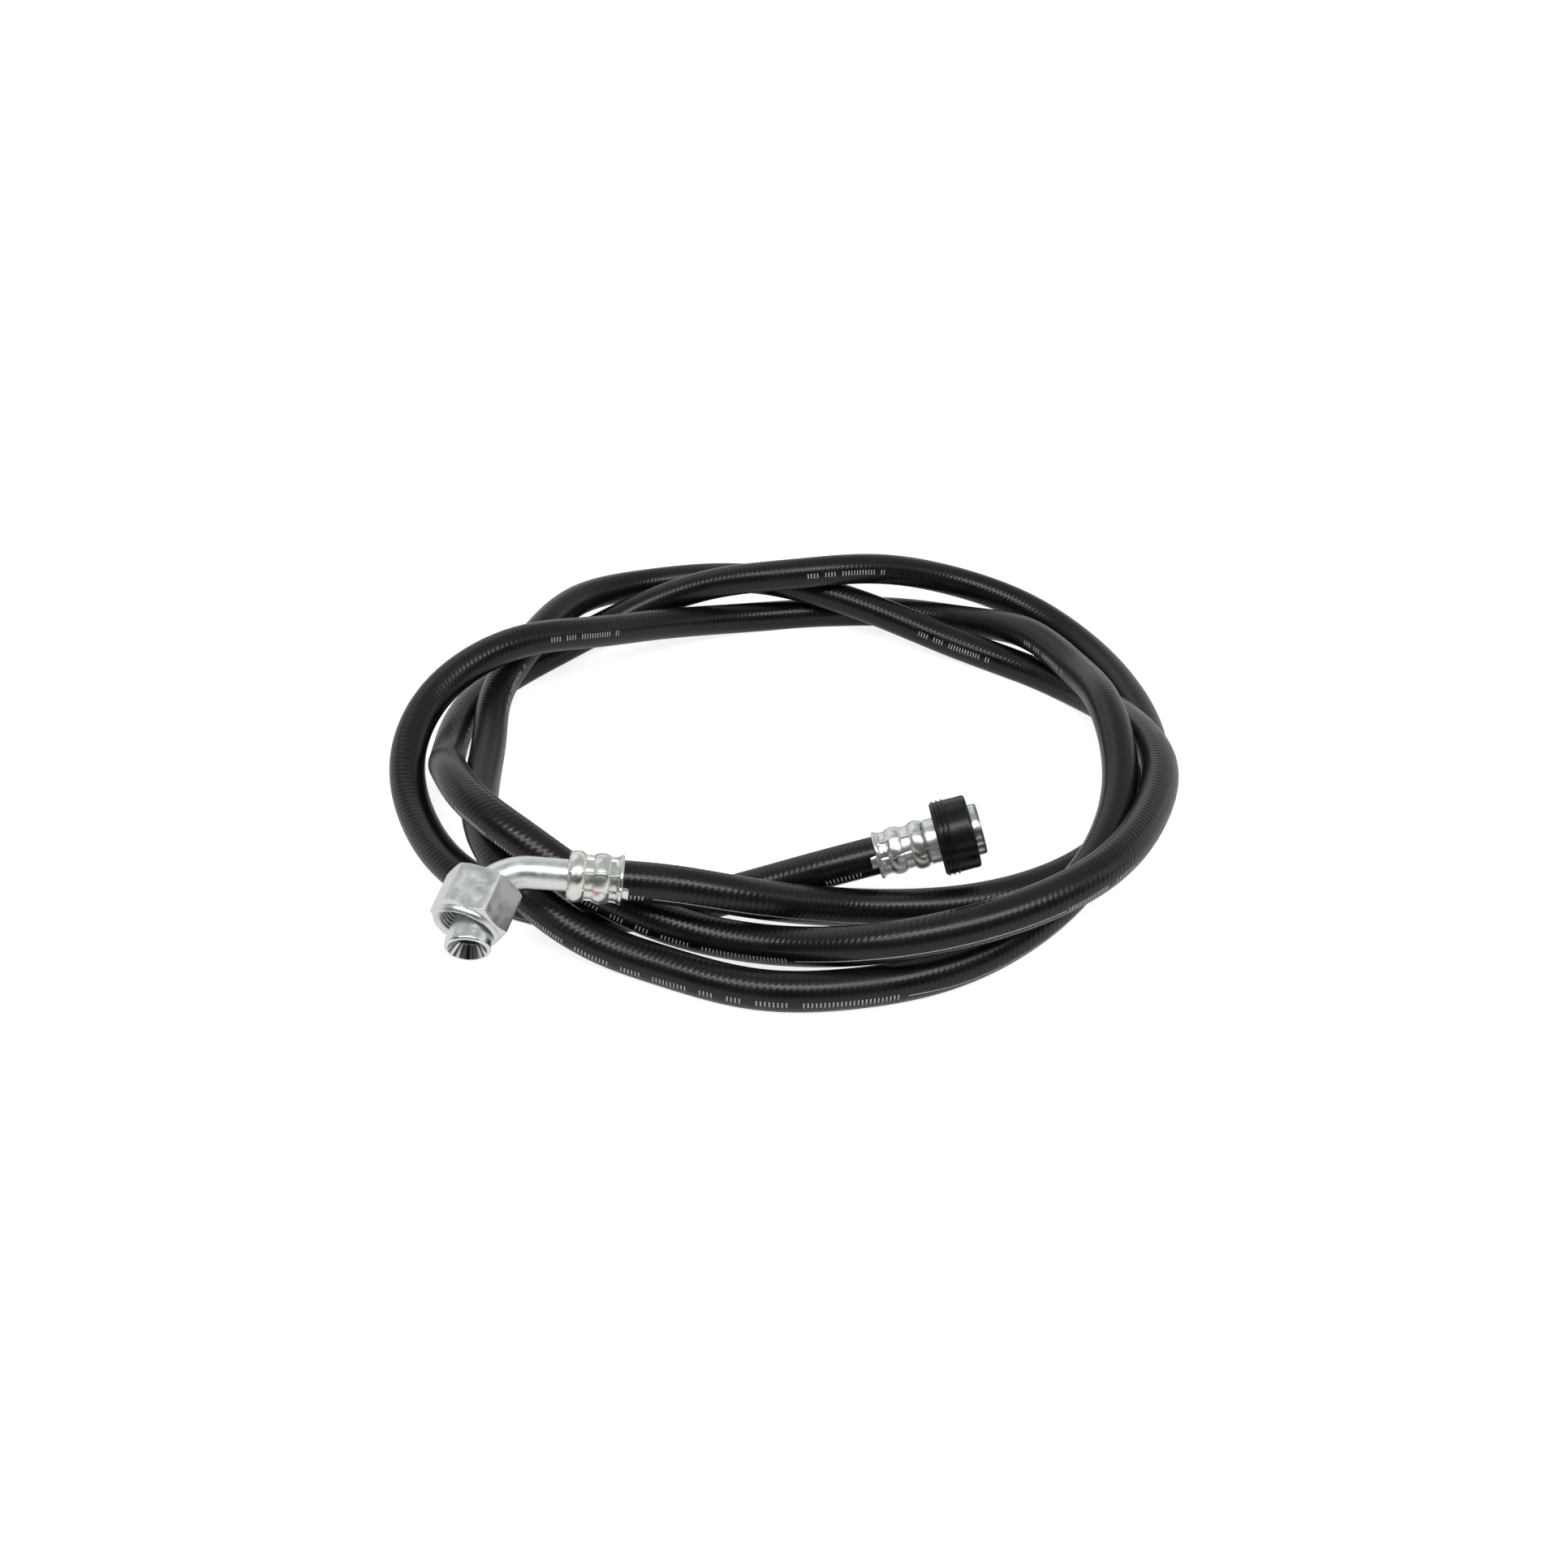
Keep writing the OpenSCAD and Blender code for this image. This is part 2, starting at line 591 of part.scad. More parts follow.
module release_sleeve() color(bright_zinc) at_coupler() rotate_extrude($fn = 96) polygon([
    [sleeve_id / 2, sleeve_z], [sleeve_od / 2, sleeve_z],
    [sleeve_od / 2, cap_front_z - cap_front_t], [front_od / 2, cap_front_z - cap_front_t],
    [front_od / 2, sleeve_front_z - 0.6], [front_od / 2 - 0.4, sleeve_front_z],
    [front_id / 2 + 0.15, sleeve_front_z], [front_id / 2, sleeve_front_z - 0.5],
    [front_id / 2, recess_z], [barrel_d / 2 + slide_gap, recess_z],
    [barrel_d / 2 + slide_gap, cam_z], [sleeve_id / 2, cam_z],
]);

module coupler_cap() color(rubber_black) at_coupler() {
    difference() {
        union() {
            rotate_extrude($fn = 96) polygon(concat(
                [[0, cap_z], [cap_od / 2 - 0.8, cap_z], [cap_od / 2, cap_z + 0.8]],
                [for (a = [0:15:90]) [
                    cap_od / 2 - cap_round + cap_round * cos(a),
                    cap_front_z - cap_round + cap_round * sin(a),
                ]],
                [[0, cap_front_z]]
            ));
            for (k = [1:grip_rings]) translate([0, 0, cap_z + 0.4 + (k - 0.5) * grip_pitch])
                rotate_extrude($fn = 96) polygon([
                    [cap_od / 2 - 1, -0.7], [cap_od / 2, -0.7], [cap_od / 2 + 0.4, -0.2],
                    [cap_od / 2 + 0.4, 0.2], [cap_od / 2, 0.7], [cap_od / 2 - 1, 0.7],
                ]);
        }
        rotate_extrude($fn = 96) polygon([
            [0, cap_z - 1], [neck_d / 2 + 0.4, cap_z - 1], [neck_d / 2 + 0.4, sleeve_z],
            [sleeve_od / 2, sleeve_z], [sleeve_od / 2, cap_front_z - cap_front_t],
            [front_od / 2, cap_front_z - cap_front_t], [front_od / 2, cap_front_z + 1],
            [0, cap_front_z + 1],
        ]);
    }
}

hose_cover();
hose_wire_braid();
hose_inner_tube();
elbow_ferrule();
elbow_nipple();
elbow_bent_tube();
elbow_cone_nose();
swivel_nut();
coupler_ferrule();
coupler_body();
coupler_o_ring();
coupler_backup_ring();
coupler_stop_ring();
coupler_spring();
lock_ball(1);  // lock_ball_1
lock_ball(2);  // lock_ball_2
lock_ball(3);  // lock_ball_3
lock_ball(4);  // lock_ball_4
lock_ball(5);  // lock_ball_5
lock_ball(6);  // lock_ball_6
lock_ball(7);  // lock_ball_7
lock_ball(8);  // lock_ball_8
release_sleeve();
coupler_cap();
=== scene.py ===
import math
import bmesh
import bpy
from mathutils import Euler, Matrix, Vector


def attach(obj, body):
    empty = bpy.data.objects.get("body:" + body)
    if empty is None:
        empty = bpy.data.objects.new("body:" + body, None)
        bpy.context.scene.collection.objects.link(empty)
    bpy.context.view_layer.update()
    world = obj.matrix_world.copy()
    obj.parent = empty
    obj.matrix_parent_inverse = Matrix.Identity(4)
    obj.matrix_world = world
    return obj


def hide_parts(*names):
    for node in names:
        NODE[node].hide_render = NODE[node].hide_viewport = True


# A hydraulic hose assembly, dressed over its CAD solids: a hose in three loops, with a bent tube
# and a swivel nut on one end and a push-pull coupler on the other. Shapes are worked out in
# millimetres, in the frame of part.scad, and turned into metres as each mesh is made.

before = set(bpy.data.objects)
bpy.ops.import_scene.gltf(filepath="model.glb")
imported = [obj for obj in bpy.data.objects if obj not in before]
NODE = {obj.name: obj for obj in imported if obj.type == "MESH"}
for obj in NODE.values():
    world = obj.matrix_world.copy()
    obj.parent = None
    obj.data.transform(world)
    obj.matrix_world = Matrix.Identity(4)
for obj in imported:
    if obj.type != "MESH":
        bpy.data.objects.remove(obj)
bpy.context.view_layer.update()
MM = 0.001

# ---------------------------------------------------------------- camera

PHOTO_PX = 1932   # the photo is as wide as it is high
FOCAL_PX = 1850   # the lens's focal length, in the photo's pixels
SENSOR_MM = 36
LOOK_DOWN = 35    # degrees below the horizon

camera = bpy.data.objects.new("camera", bpy.data.cameras.new("camera"))
bpy.context.scene.collection.objects.link(camera)
camera.location = (-0.001, -0.585, 0.4044)
camera.rotation_euler = (math.radians(90 - LOOK_DOWN), 0, 0)
camera.data.sensor_width = SENSOR_MM
camera.data.lens = SENSOR_MM * FOCAL_PX / PHOTO_PX
camera.data.clip_start = 0.01
bpy.context.scene.camera = camera

# ---------------------------------------------------------------- the hose's route

HOSE_R = 8.0
BRAID_R, LINER_R = 6.8, 6.2
GRIP = 17.8                 # how far the hose goes into each ferrule
ROUTE_STEPS = 10            # samples between two points of the route
ELBOW_MOUTH = Vector((-63.8, -128, 38.6))
COUPLER_MOUTH = Vector((37, -97, 27))


def rotation(x, y, z):
    """A turn about X, then Y, then Z, in degrees."""
    return Euler([math.radians(a) for a in (x, y, z)]).to_matrix().to_4x4()


# Each end's own frame: its origin in the ferrule's mouth, its Z out of the hose.
ELBOW = Matrix.Translation(ELBOW_MOUTH) @ rotation(19, 9, 3) @ rotation(90, 0, -90)
COUPLER = Matrix.Translation(COUPLER_MOUTH) @ rotation(0, 75, 4.5)
ELBOW_OUT = (ELBOW.to_3x3() @ Vector((0, 0, 1))).normalized()
COUPLER_OUT = (COUPLER.to_3x3() @ Vector((0, 0, 1))).normalized()

# The points that the hose's middle passes through, from the elbow to the coupler. They are the
# same as in part.scad.
LOOPS = [
    (-14, -124, 26.5), (22, -112, 12), (65, -106, 7.5), (107, -92, 7),
    (141, -64, 6.4), (166, -21, 6.4), (175, 19, 6.4), (173, 60, 6.4),
    (156, 112, 8), (128, 141, 15), (88, 152, 25), (45, 142, 36.5),
    (4, 133, 38), (-43, 137, 29), (-83, 132, 15.5), (-119, 108, 7),
    (-146, 73, 7), (-157, 37, 11), (-155, -15, 19.5), (-145, -52, 38.5),
    (-129, -83, 44), (-105, -104, 39.5), (-76, -117, 24.5), (-45, -125, 13),
    (-1, -136, 12), (40, -148, 24.5), (81, -142, 31), (123, -119, 35),
    (151, -79, 33), (165, -36, 30), (163, 10, 21.5), (154, 49, 10.5),
    (126, 86, 6.4), (90, 108, 10), (52, 128, 17), (2, 148, 24),
    (-38, 162, 21), (-75, 158, 19.5), (-107, 133, 24.5), (-129, 83, 26),
    (-141, 43, 20), (-139, 3, 18.5), (-135, -45, 20.5), (-122, -90, 25),
    (-101, -117, 19.5), (-75, -132, 10.5), (-49, -142, 7), (-11, -155, 6.4),
    (29, -154, 6.4), (66, -143, 7), (107, -118, 15), (135, -80, 22.5),
    (148, -35, 29.5), (148, 8, 34.5), (142, 53, 27), (125, 95, 23),
    (99, 128, 12), (59, 147, 7.5), (16, 148, 6.4), (-26, 139, 8),
    (-67, 114, 18), (-101, 81, 31.5), (-131, 56, 40), (-166, 22, 31),
    (-174, -13, 18), (-162, -50, 8), (-133, -88, 6.4), (-95, -107, 6.4),
    (-52, -107, 6.4), (-12, -98, 11),
]
ROUTE = (
    [ELBOW_MOUTH - s * ELBOW_OUT for s in (-GRIP, 0, 2 * HOSE_R)]
    + [Vector(p) for p in LOOPS]
    + [COUPLER_MOUTH + s * COUPLER_OUT for s in (-2 * HOSE_R, 0, GRIP)]
)


def smooth_line(points, steps):
    """A natural cubic spline through the points, so that each bend eases in and out."""
    spans = [(b - a).length for a, b in zip(points, points[1:])]
    slopes = [(b - a) / h for a, b, h in zip(points, points[1:], spans)]
    # The second derivative at each point, by elimination and back substitution.
    carry, second = [0.0], [Vector((0, 0, 0))]
    for h0, h1, s0, s1 in zip(spans, spans[1:], slopes, slopes[1:]):
        pivot = 2 * (h0 + h1) - h0 * carry[-1]
        second.append((6 * (s1 - s0) - h0 * second[-1]) / pivot)
        carry.append(h1 / pivot)
    second.append(Vector((0, 0, 0)))
    for i in range(len(points) - 2, 0, -1):
        second[i] = second[i] - carry[i] * second[i + 1]
    line = []
    for i, h in enumerate(spans):
        for k in range(steps):
            t = h * k / steps
            u = h - t
            line.append((second[i] * u ** 3 + second[i + 1] * t ** 3) / (6 * h)
                        + (points[i] / h - second[i] * h / 6) * u
                        + (points[i + 1] / h - second[i + 1] * h / 6) * t)
    line.append(points[-1].copy())
    return line


LINE = smooth_line(ROUTE, ROUTE_STEPS)
FLOOR_GAP = 0.02            # the lowest that print may lie, on the hose's flattened underside
ALONG = [0.0]               # the arc length at each sample
for a, b in zip(LINE, LINE[1:]):
    ALONG.append(ALONG[-1] + (b - a).length)
HOSE_L = ALONG[-1]


def line_frame(i):
    """The way along the line at sample i, its right-hand side, and up across it."""
    way = (LINE[min(i + 1, len(LINE) - 1)] - LINE[max(i - 1, 0)]).normalized()
    side = way.cross(Vector((0, 0, 1))).normalized()
    return way, side, side.cross(way)


FRAMES = [line_frame(i) for i in range(len(LINE))]


def on_hose(s, angle, r):
    """The point at arc length s, at an angle from the side towards the top, r from the line."""
    lo, hi = 0, len(ALONG) - 1
    while hi - lo > 1:
        mid = (lo + hi) // 2
        if ALONG[mid] <= s:
            lo = mid
        else:
            hi = mid
    t = min(max((s - ALONG[lo]) / (ALONG[hi] - ALONG[lo]), 0), 1)
    c = LINE[lo].lerp(LINE[hi], t)
    side = FRAMES[lo][1].lerp(FRAMES[hi][1], t).normalized()
    up = FRAMES[lo][2].lerp(FRAMES[hi][2], t).normalized()
    q = c + r * (math.cos(angle) * side + math.sin(angle) * up)
    q.z = max(q.z, FLOOR_GAP)
    return q


# ---------------------------------------------------------------- mesh helpers

def link(name, data):
    """A new object in the scene, from a mesh or a lamp."""
    piece = bpy.data.objects.new(name, data)
    bpy.context.scene.collection.objects.link(piece)
    return piece


def new_mesh(name, points, faces, uvs=()):
    """A mesh from points in millimetres, with a UV pair for each corner of each face."""
    mesh = bpy.data.meshes.new(name)
    mesh.from_pydata([p * MM for p in points], [], faces)
    if uvs:
        layer = mesh.uv_layers.new(name="UVMap")
        for corner, uv in zip(layer.data, uvs):
            corner.uv = uv
    return mesh


def smooth(mesh):
    for p in mesh.polygons:
        p.use_smooth = True


def finish_mesh(mesh, sharp):
    """Turns every face outwards and smooths it, with creases over the sharp angle."""
    mesh.update()
    work = bmesh.new()
    work.from_mesh(mesh)
    bmesh.ops.recalc_face_normals(work, faces=work.faces)
    work.to_mesh(mesh)
    work.free()
    smooth(mesh)
    mesh.set_sharp_from_angle(angle=math.radians(sharp))


def hose_mesh(name, r, sides):
    """One layer of the hose. Its UV map holds the arc length and the way round, in metres."""
    verts, faces, uvs = [], [], []
    for i, c in enumerate(LINE):
        way, side, up = FRAMES[i]
        for k in range(sides):
            a = 2 * math.pi * k / sides - math.pi / 2
            q = c + r * (math.cos(a) * side + math.sin(a) * up)
            q.z = max(q.z, 0.7 * (HOSE_R - r))   # flat underneath where it lies on the floor
            verts.append(q)
    for i in range(len(LINE) - 1):
        for k in range(sides):
            a, b = i * sides + k, i * sides + (k + 1) % sides
            faces.append((a, b, b + sides, a + sides))
            u0, u1 = ALONG[i] * MM, ALONG[i + 1] * MM
            v0, v1 = [2 * math.pi * r * MM * (k + j) / sides for j in (0, 1)]
            uvs += [(u0, v0), (u0, v1), (u1, v1), (u1, v0)]
    mesh = new_mesh(name, verts, faces, uvs)
    smooth(mesh)
    mesh.update()
    return link(name, mesh)


def turned(name, outline, matrix, sides, sharp, radius=None, start=0.0):
    """A turned piece from a closed outline of (radius, height) points. radius(r, z, angle) may
    change each point. Its UV map holds the way along the outline and the part of a full turn."""
    verts, faces, uvs = [], [], []
    rows = outline + [outline[0]]
    for r, z in outline:
        for k in range(sides):
            a = start + 2 * math.pi * k / sides
            q = radius(r, z, a) if radius else r
            verts.append((q * math.cos(a), q * math.sin(a), z))
    for i in range(len(rows) - 1):
        j = (i + 1) % len(outline)
        for k in range(sides):
            n = (k + 1) % sides
            faces.append((i * sides + k, i * sides + n, j * sides + n, j * sides + k))
            for row, m in ((i, k), (i, k + 1), (i + 1, k + 1), (i + 1, k)):
                r, z = rows[row]
                uvs.append(((z + 0.35 * r) * MM, m / sides))
    mesh = new_mesh(name, [matrix @ Vector(v) for v in verts], faces, uvs)
    finish_mesh(mesh, sharp)
    return link(name, mesh)


def rounded(outline, size):
    """The closed outline with its corners cut to small arcs, so that edges catch the light."""
    out = []
    n = len(outline)
    for i in range(n):
        before, corner, after = (Vector(outline[(i + j - 1) % n]) for j in range(3))
        a, b = before - corner, after - corner
        cut = min(size, 0.4 * a.length, 0.4 * b.length)
        if cut < 0.02 or a.normalized().dot(b.normalized()) < -0.97:
            out.append(tuple(corner))
            continue
        s, e = corner + a.normalized() * cut, corner + b.normalized() * cut
        for t in (0, 1 / 3, 2 / 3, 1):
            out.append(tuple((1 - t) ** 2 * s + 2 * t * (1 - t) * corner + t * t * e))
    return out


# ---------------------------------------------------------------- fittings

FERRULE_L = 21.4
TUBE_R, TUBE_BORE_R = 6.35, 4.4
BEND_R = 20.0                   # the bend of the tube, along its middle
LEG_L = 16.4                    # from the end of the bend to the tip of the nose
BEND_Z = FERRULE_L + 13.7       # where the bend starts
NOSE_START = LEG_L - 11
NUT_BACK = 11.4                 # how far round the bend the nut's rear lies, from the bend's end
NUT_TILT = 15.5                 # how far the loose nut hangs out of square, in degrees
NUT_CORNER_R = 15.65
NUT_HALF_FLATS = 13.5
CREST_R = 10.2
THREAD_PITCH = 1.5
FIRST_CORNER = 5.5              # where a corner of the nut lies round its line, in degrees

# The frames of the nose's leg and of the nut, each with its Z out of the tube.
LEG = (ELBOW @ Matrix.Translation((BEND_R, 0, BEND_Z + BEND_R))
       @ Matrix.Rotation(math.radians(90), 4, "Y"))
NUT_ARC = math.radians(90) - NUT_BACK / BEND_R
NUT = (ELBOW @ Matrix.Translation((BEND_R - BEND_R * math.cos(NUT_ARC), 0,
                                   BEND_Z + BEND_R * math.sin(NUT_ARC)))
       @ Matrix.Rotation(math.radians(90 - NUT_TILT), 4, "Y")
       @ Matrix.Rotation(math.radians(3), 4, "X")
       @ Matrix.Translation((-0.3, 0.3, -1.5)))


def steps(z0, z1, n):
    """n even steps from z0 to z1, with both ends."""
    return [z0 + (z1 - z0) * i / n for i in range(n + 1)]


def smooth_step(x):
    x = min(max(x, 0.0), 1.0)
    return x * x * (3 - 2 * x)


GROOVE_R = 8.75     # the shell's radius in its crimped grooves
RIDGES = ((4.9, 11.6, 10.05, 26), (14.4, 21.2, 10.15, 28))   # start, end, radius, steps
BETWEEN_RIDGES = 13
DIES = (1.0, 0.8, 1.15, 0.9, 1.05, 0.75, 1.1, 0.95)          # how deep each die pressed


def shell_outline():
    """The crimped shell: lip, groove, ridge, groove, ridge and end wall, then the bore back."""
    out = [(8.35, -0.05), (9.3, -0.1), (9.75, 0.1), (9.95, 0.45), (9.9, 0.9), (9.6, 1.35),
           (9.2, 1.8)]
    for z in steps(2.2, 4.7, 10):
        out.append((GROOVE_R + 0.3 * (1 - smooth_step((z - 2.0) / 1.2)), z))
    for z0, z1, high, n in RIDGES:
        for z in steps(z0, z1, n)[:-1]:
            t = (z - z0) / (z1 - z0)
            out.append((GROOVE_R + (high - GROOVE_R) * max(math.sin(math.pi * t), 0) ** 0.65, z))
        if z1 < BETWEEN_RIDGES:
            out += [(GROOVE_R, z) for z in steps(z1, 14.3, 10)]
    out += [(8.5, 21.25), (8.0, FERRULE_L), (7.0, FERRULE_L), (6.45, 21.3), (6.4, 19.0),
            (8.02, 18.0), (8.02, 0.5)]
    return out


def crimped(fin_at):
    """The marks of eight dies: flat dents with thin burrs between them, a wavy lip with one sharp
    fin on it at the angle fin_at, and a slight rumple all over."""
    sector = 2 * math.pi / len(DIES)

    def radius(r, z, a):
        if r < 8.4 or z > 21.2:     # the bore and the end wall
            return r
        turn = a / sector + 0.5
        off_middle = abs(turn % 1 - 0.5) * 2
        press = DIES[int(turn) % len(DIES)]
        low = 1 - smooth_step((r - GROOVE_R) / 1.1)
        body = smooth_step((z - 1.5) / 0.8)
        lip = 1 - smooth_step((z - 1.0) / 1.6)
        q = r - 0.2 * press * low * (1 - off_middle ** 4) * body
        burr = math.exp(-(((1 - off_middle) * sector / 2 * 9) / 0.34) ** 2)
        on_ridge = 0.16 if z < BETWEEN_RIDGES else 0.03
        q += burr * body * (0.34 * low + on_ridge * (1 - low))
        if z < BETWEEN_RIDGES:
            q -= 0.13 * press * (1 - low) * (1 - off_middle ** 2) * body
        q += lip * (0.16 * math.sin(3 * a + fin_at) + 0.1 * math.sin(7 * a))
        away = math.atan2(math.sin(a - fin_at), math.cos(a - fin_at))
        q += lip * 0.85 * math.exp(-(away / 0.13) ** 2)
        q += 0.07 * body * math.sin(5 * a + 0.8 * z + fin_at) * math.sin(1.15 * z - 2 * a)
        return q
    return radius


def lug(name, matrix, degrees):
    """The folded tab that stands out of the lip along the hose: rows of points across an under
    and an upper side, with its long edges eased."""
    spin = matrix @ Matrix.Rotation(math.radians(degrees), 4, "Z")
    verts, faces = [], []
    profile = [(0.8, 0.0), (0.2, 0.1), (-0.8, 0.18), (-1.7, 0.5), (-2.4, 0.95)]   # z, lift
    across = (-2.5, -2.2, -0.8, 0.8, 2.2, 2.5)
    under, upper = 0.15, 0.95
    for z, lift in profile:
        for h, ease in ((under, -0.18), (upper, 0.18)):
            for y in across:
                edge = ease if abs(y) > 2.3 else 0.0
                verts.append((HOSE_R + lift + h - y * y / 18 - edge, y, z))
    n = len(across)
    row = 2 * n
    for a in range(0, (len(profile) - 1) * row, row):
        for k in range(n - 1):
            faces.append((a + k, a + k + 1, a + row + k + 1, a + row + k))
            faces.append((a + n + k, a + row + n + k, a + row + n + k + 1, a + n + k + 1))
        faces.append((a, a + row, a + row + n, a + n))
        faces.append((a + n - 1, a + row - 1, a + 2 * row - 1, a + row + n - 1))
    for a in (0, (len(profile) - 1) * row):
        for k in range(n - 1):
            faces.append((a + k, a + n + k, a + n + k + 1, a + k + 1))
    mesh = new_mesh(name, [spin @ Vector(v) for v in verts], faces)
    finish_mesh(mesh, 40)
    return link(name, mesh)


def bent_tube(name, matrix, sides=72):
    """The steel tube: straight from the ferrule, round the bend, straight into the nose. Its UV map
    holds the way along it, in metres, and the part of a full turn."""
    quarter = math.pi / 2
    path = [((0, 0, z), 0.0) for z in steps(FERRULE_L + 0.1, BEND_Z, 6)]
    path += [((BEND_R - BEND_R * math.cos(a), 0, BEND_Z + BEND_R * math.sin(a)), a)
             for a in steps(0, quarter, 36)[1:]]
    path += [((BEND_R + x, 0, BEND_Z + BEND_R), quarter)
             for x in steps(0, NOSE_START + 4.8, 5)[1:]]
    verts, faces, uvs, along = [], [], [], [0.0]
    for (p, _), (q, _) in zip(path, path[1:]):
        along.append(along[-1] + (Vector(q) - Vector(p)).length)
    n = len(path)
    for r in (TUBE_R, TUBE_BORE_R):
        for p, a in path:
            # The bend's outer side is drawn slightly flat.
            bent = math.sin(2 * a) if 0 < a < quarter else 0.0
            for k in range(sides):
                b = 2 * math.pi * k / sides
                u = -math.cos(b) * (r - 0.22 * bent * max(math.cos(b), 0))
                verts.append((p[0] + u * math.cos(a), r * math.sin(b), p[2] - u * math.sin(a)))
    for side in (0, 1):
        for i in range(n - 1):
            for k in range(sides):
                a = (side * n + i) * sides
                b, c = a + k, a + (k + 1) % sides
                faces.append((b, c, c + sides, b + sides))
                for ii, kk in ((i, k), (i, k + 1), (i + 1, k + 1), (i + 1, k)):
                    uvs.append((along[ii] * MM, kk / sides))
    for i in (0, n - 1):
        for k in range(sides):
            a, b = i * sides + k, i * sides + (k + 1) % sides
            faces.append((a, b, b + n * sides, a + n * sides))
            uvs += [(0, 0)] * 4
    mesh = new_mesh(name, [matrix @ Vector(v) for v in verts], faces, uvs)
    finish_mesh(mesh, 35)
    return link(name, mesh)


def thread_phase(z, a):
    """How far a point of the nut's inside is from one crest of the thread to the next, 0 to 1."""
    return (z / THREAD_PITCH - a / (2 * math.pi)) % 1


def hexagon(r, z, a):
    """The nut's outside: a hexagon with eased edges, cut by its end chamfers. Its inside: the turns
    of its thread, which fade out at both ends."""
    if r > 12.5:
        power = 46      # the higher, the sharper the hexagon's edges
        flats = [math.cos(a - math.radians(FIRST_CORNER + 30 + 60 * i)) for i in range(6)]
        total = sum(max(c, 0) ** power for c in flats)
        return min(r, NUT_HALF_FLATS / total ** (1 / power))
    if 4.4 < z < 19.2 and 9.5 < r < 11.5:
        deep = 0.85 * smooth_step(1.25 * (1 - abs(2 * thread_phase(z, a) - 1)) - 0.1)
        return r + deep * smooth_step((z - 4.4) / 1.0) * smooth_step((19.4 - z) / 0.7)
    return r


def nut_outline():
    """The nut's rear rim, rear chamfer, side, front chamfer and round collar, then its lead-in,
    thread and rear hole."""
    out = [(8.1, 0.9), (8.3, 0.55), (9.9, 0.0), (12.45, 0.0), (12.9, 0.0), (14.1, 0.0)]
    out += [(14.1 + 1.55 * t, 0.85 * t) for t in steps(0, 1, 9)[1:]]
    out += [(NUT_CORNER_R, z) for z in steps(0.9, 16.6, 16)]
    out += [(NUT_CORNER_R - 2.05 * t, 16.7 + 1.35 * t) for t in steps(0, 1, 14)]
    out += [(13.3, 18.25), (13.12, 18.6), (13.1, 19.2), (12.9, 19.7), (12.45, 20.15),
            (12.3, 20.45), (12.05, 20.5), (11.85, 20.45)]
    out += [(11.7 - 1.5 * t, 20.35 - 1.5 * t) for t in steps(0, 1, 8)]
    out += [(CREST_R, z) for z in steps(18.7, 4.6, 113)]
    out += [(9.6, 4.0), (8.6, 3.3), (8.15, 3.0), (8.1, 2.4)]
    return out


hose = hose_mesh("hose", HOSE_R, 32)
braid = hose_mesh("hose_braid", BRAID_R, 20)
liner = hose_mesh("hose_liner", LINER_R, 20)
elbow_shell = turned("elbow_shell", shell_outline(), ELBOW, 288, 50, crimped(0.55))
coupler_shell = turned("coupler_shell", shell_outline(), COUPLER, 288, 50, crimped(-1.35))
lugs = [lug("elbow_lug", ELBOW, 22), lug("coupler_lug", COUPLER, -111)]
tube = bent_tube("bent_tube", ELBOW)
# The outlines below are (radius, height) points in each end's own frame.
nose = turned("cone_nose", rounded([
    (6.37, NOSE_START - 0.1), (6.85, NOSE_START), (8.65, NOSE_START + 7.5), (8.65, LEG_L - 0.65),
    (8.0, LEG_L), (7.35, LEG_L), (3.9, LEG_L - 4.58), (3.9, NOSE_START + 5), (6.37, NOSE_START + 5),
], 0.35), LEG, 160, 40)
nut = turned("hexagon_nut", nut_outline(), NUT, 360, 50, hexagon,
             math.radians(FIRST_CORNER))
cap = turned("rubber_cap", rounded([
    (9.75, 25.6), (14.5, 25.6), (15.1, 26.2), (15.15, 26.6),
    (15.8, 26.8), (15.8, 27.2), (15.15, 27.5), (15.15, 28.6),      # three thin ridges
    (15.8, 28.8), (15.8, 29.2), (15.15, 29.5), (15.15, 30.6),
    (15.8, 30.8), (15.8, 31.2), (15.2, 31.5), (15.2, 33.0),
    (15.12, 36.0), (15.2, 39.4), (14.95, 40.1), (14.4, 40.5), (13.6, 40.6),
    (10.62, 40.6), (10.6, 38.4), (12.3, 38.4), (12.3, 26.4), (9.75, 26.4),
], 0.18), COUPLER, 180, 35)
sleeve = turned("sleeve_ring", rounded([
    (11.3, 26.4), (12.3, 26.4), (12.3, 38.4), (10.6, 38.4), (10.6, 42.9), (10.2, 44.0),
    (10.05, 44.1), (9.85, 43.6), (9.85, 38.9), (8.8, 38.9), (8.8, 33.6), (11.3, 33.6),
], 0.22), COUPLER, 160, 40)

# ---------------------------------------------------------------- materials

RIPPLE, WEAVE, TOOL_LINES = 0.0023, 0.0008, 0.0003   # the pitch of each, in metres
PINK = (0.75, 0.28, 0.55, 1)


def material(name, color, metallic, roughness):
    """A new material, its node tree and its shader."""
    m = bpy.data.materials.new(name)
    m.use_nodes = True
    shader = m.node_tree.nodes["Principled BSDF"]
    shader.inputs["Base Color"].default_value = (*color, 1)
    shader.inputs["Metallic"].default_value = metallic
    shader.inputs["Roughness"].default_value = roughness
    return m, m.node_tree, shader


def place(tree, scale=(1, 1, 1), source="Object", turn=(0, 0, 0)):
    coords = tree.nodes.new("ShaderNodeTexCoord")
    mapping = tree.nodes.new("ShaderNodeMapping")
    mapping.inputs["Scale"].default_value = scale
    mapping.inputs["Rotation"].default_value = turn
    tree.links.new(coords.outputs[source], mapping.inputs["Vector"])
    return mapping.outputs["Vector"]


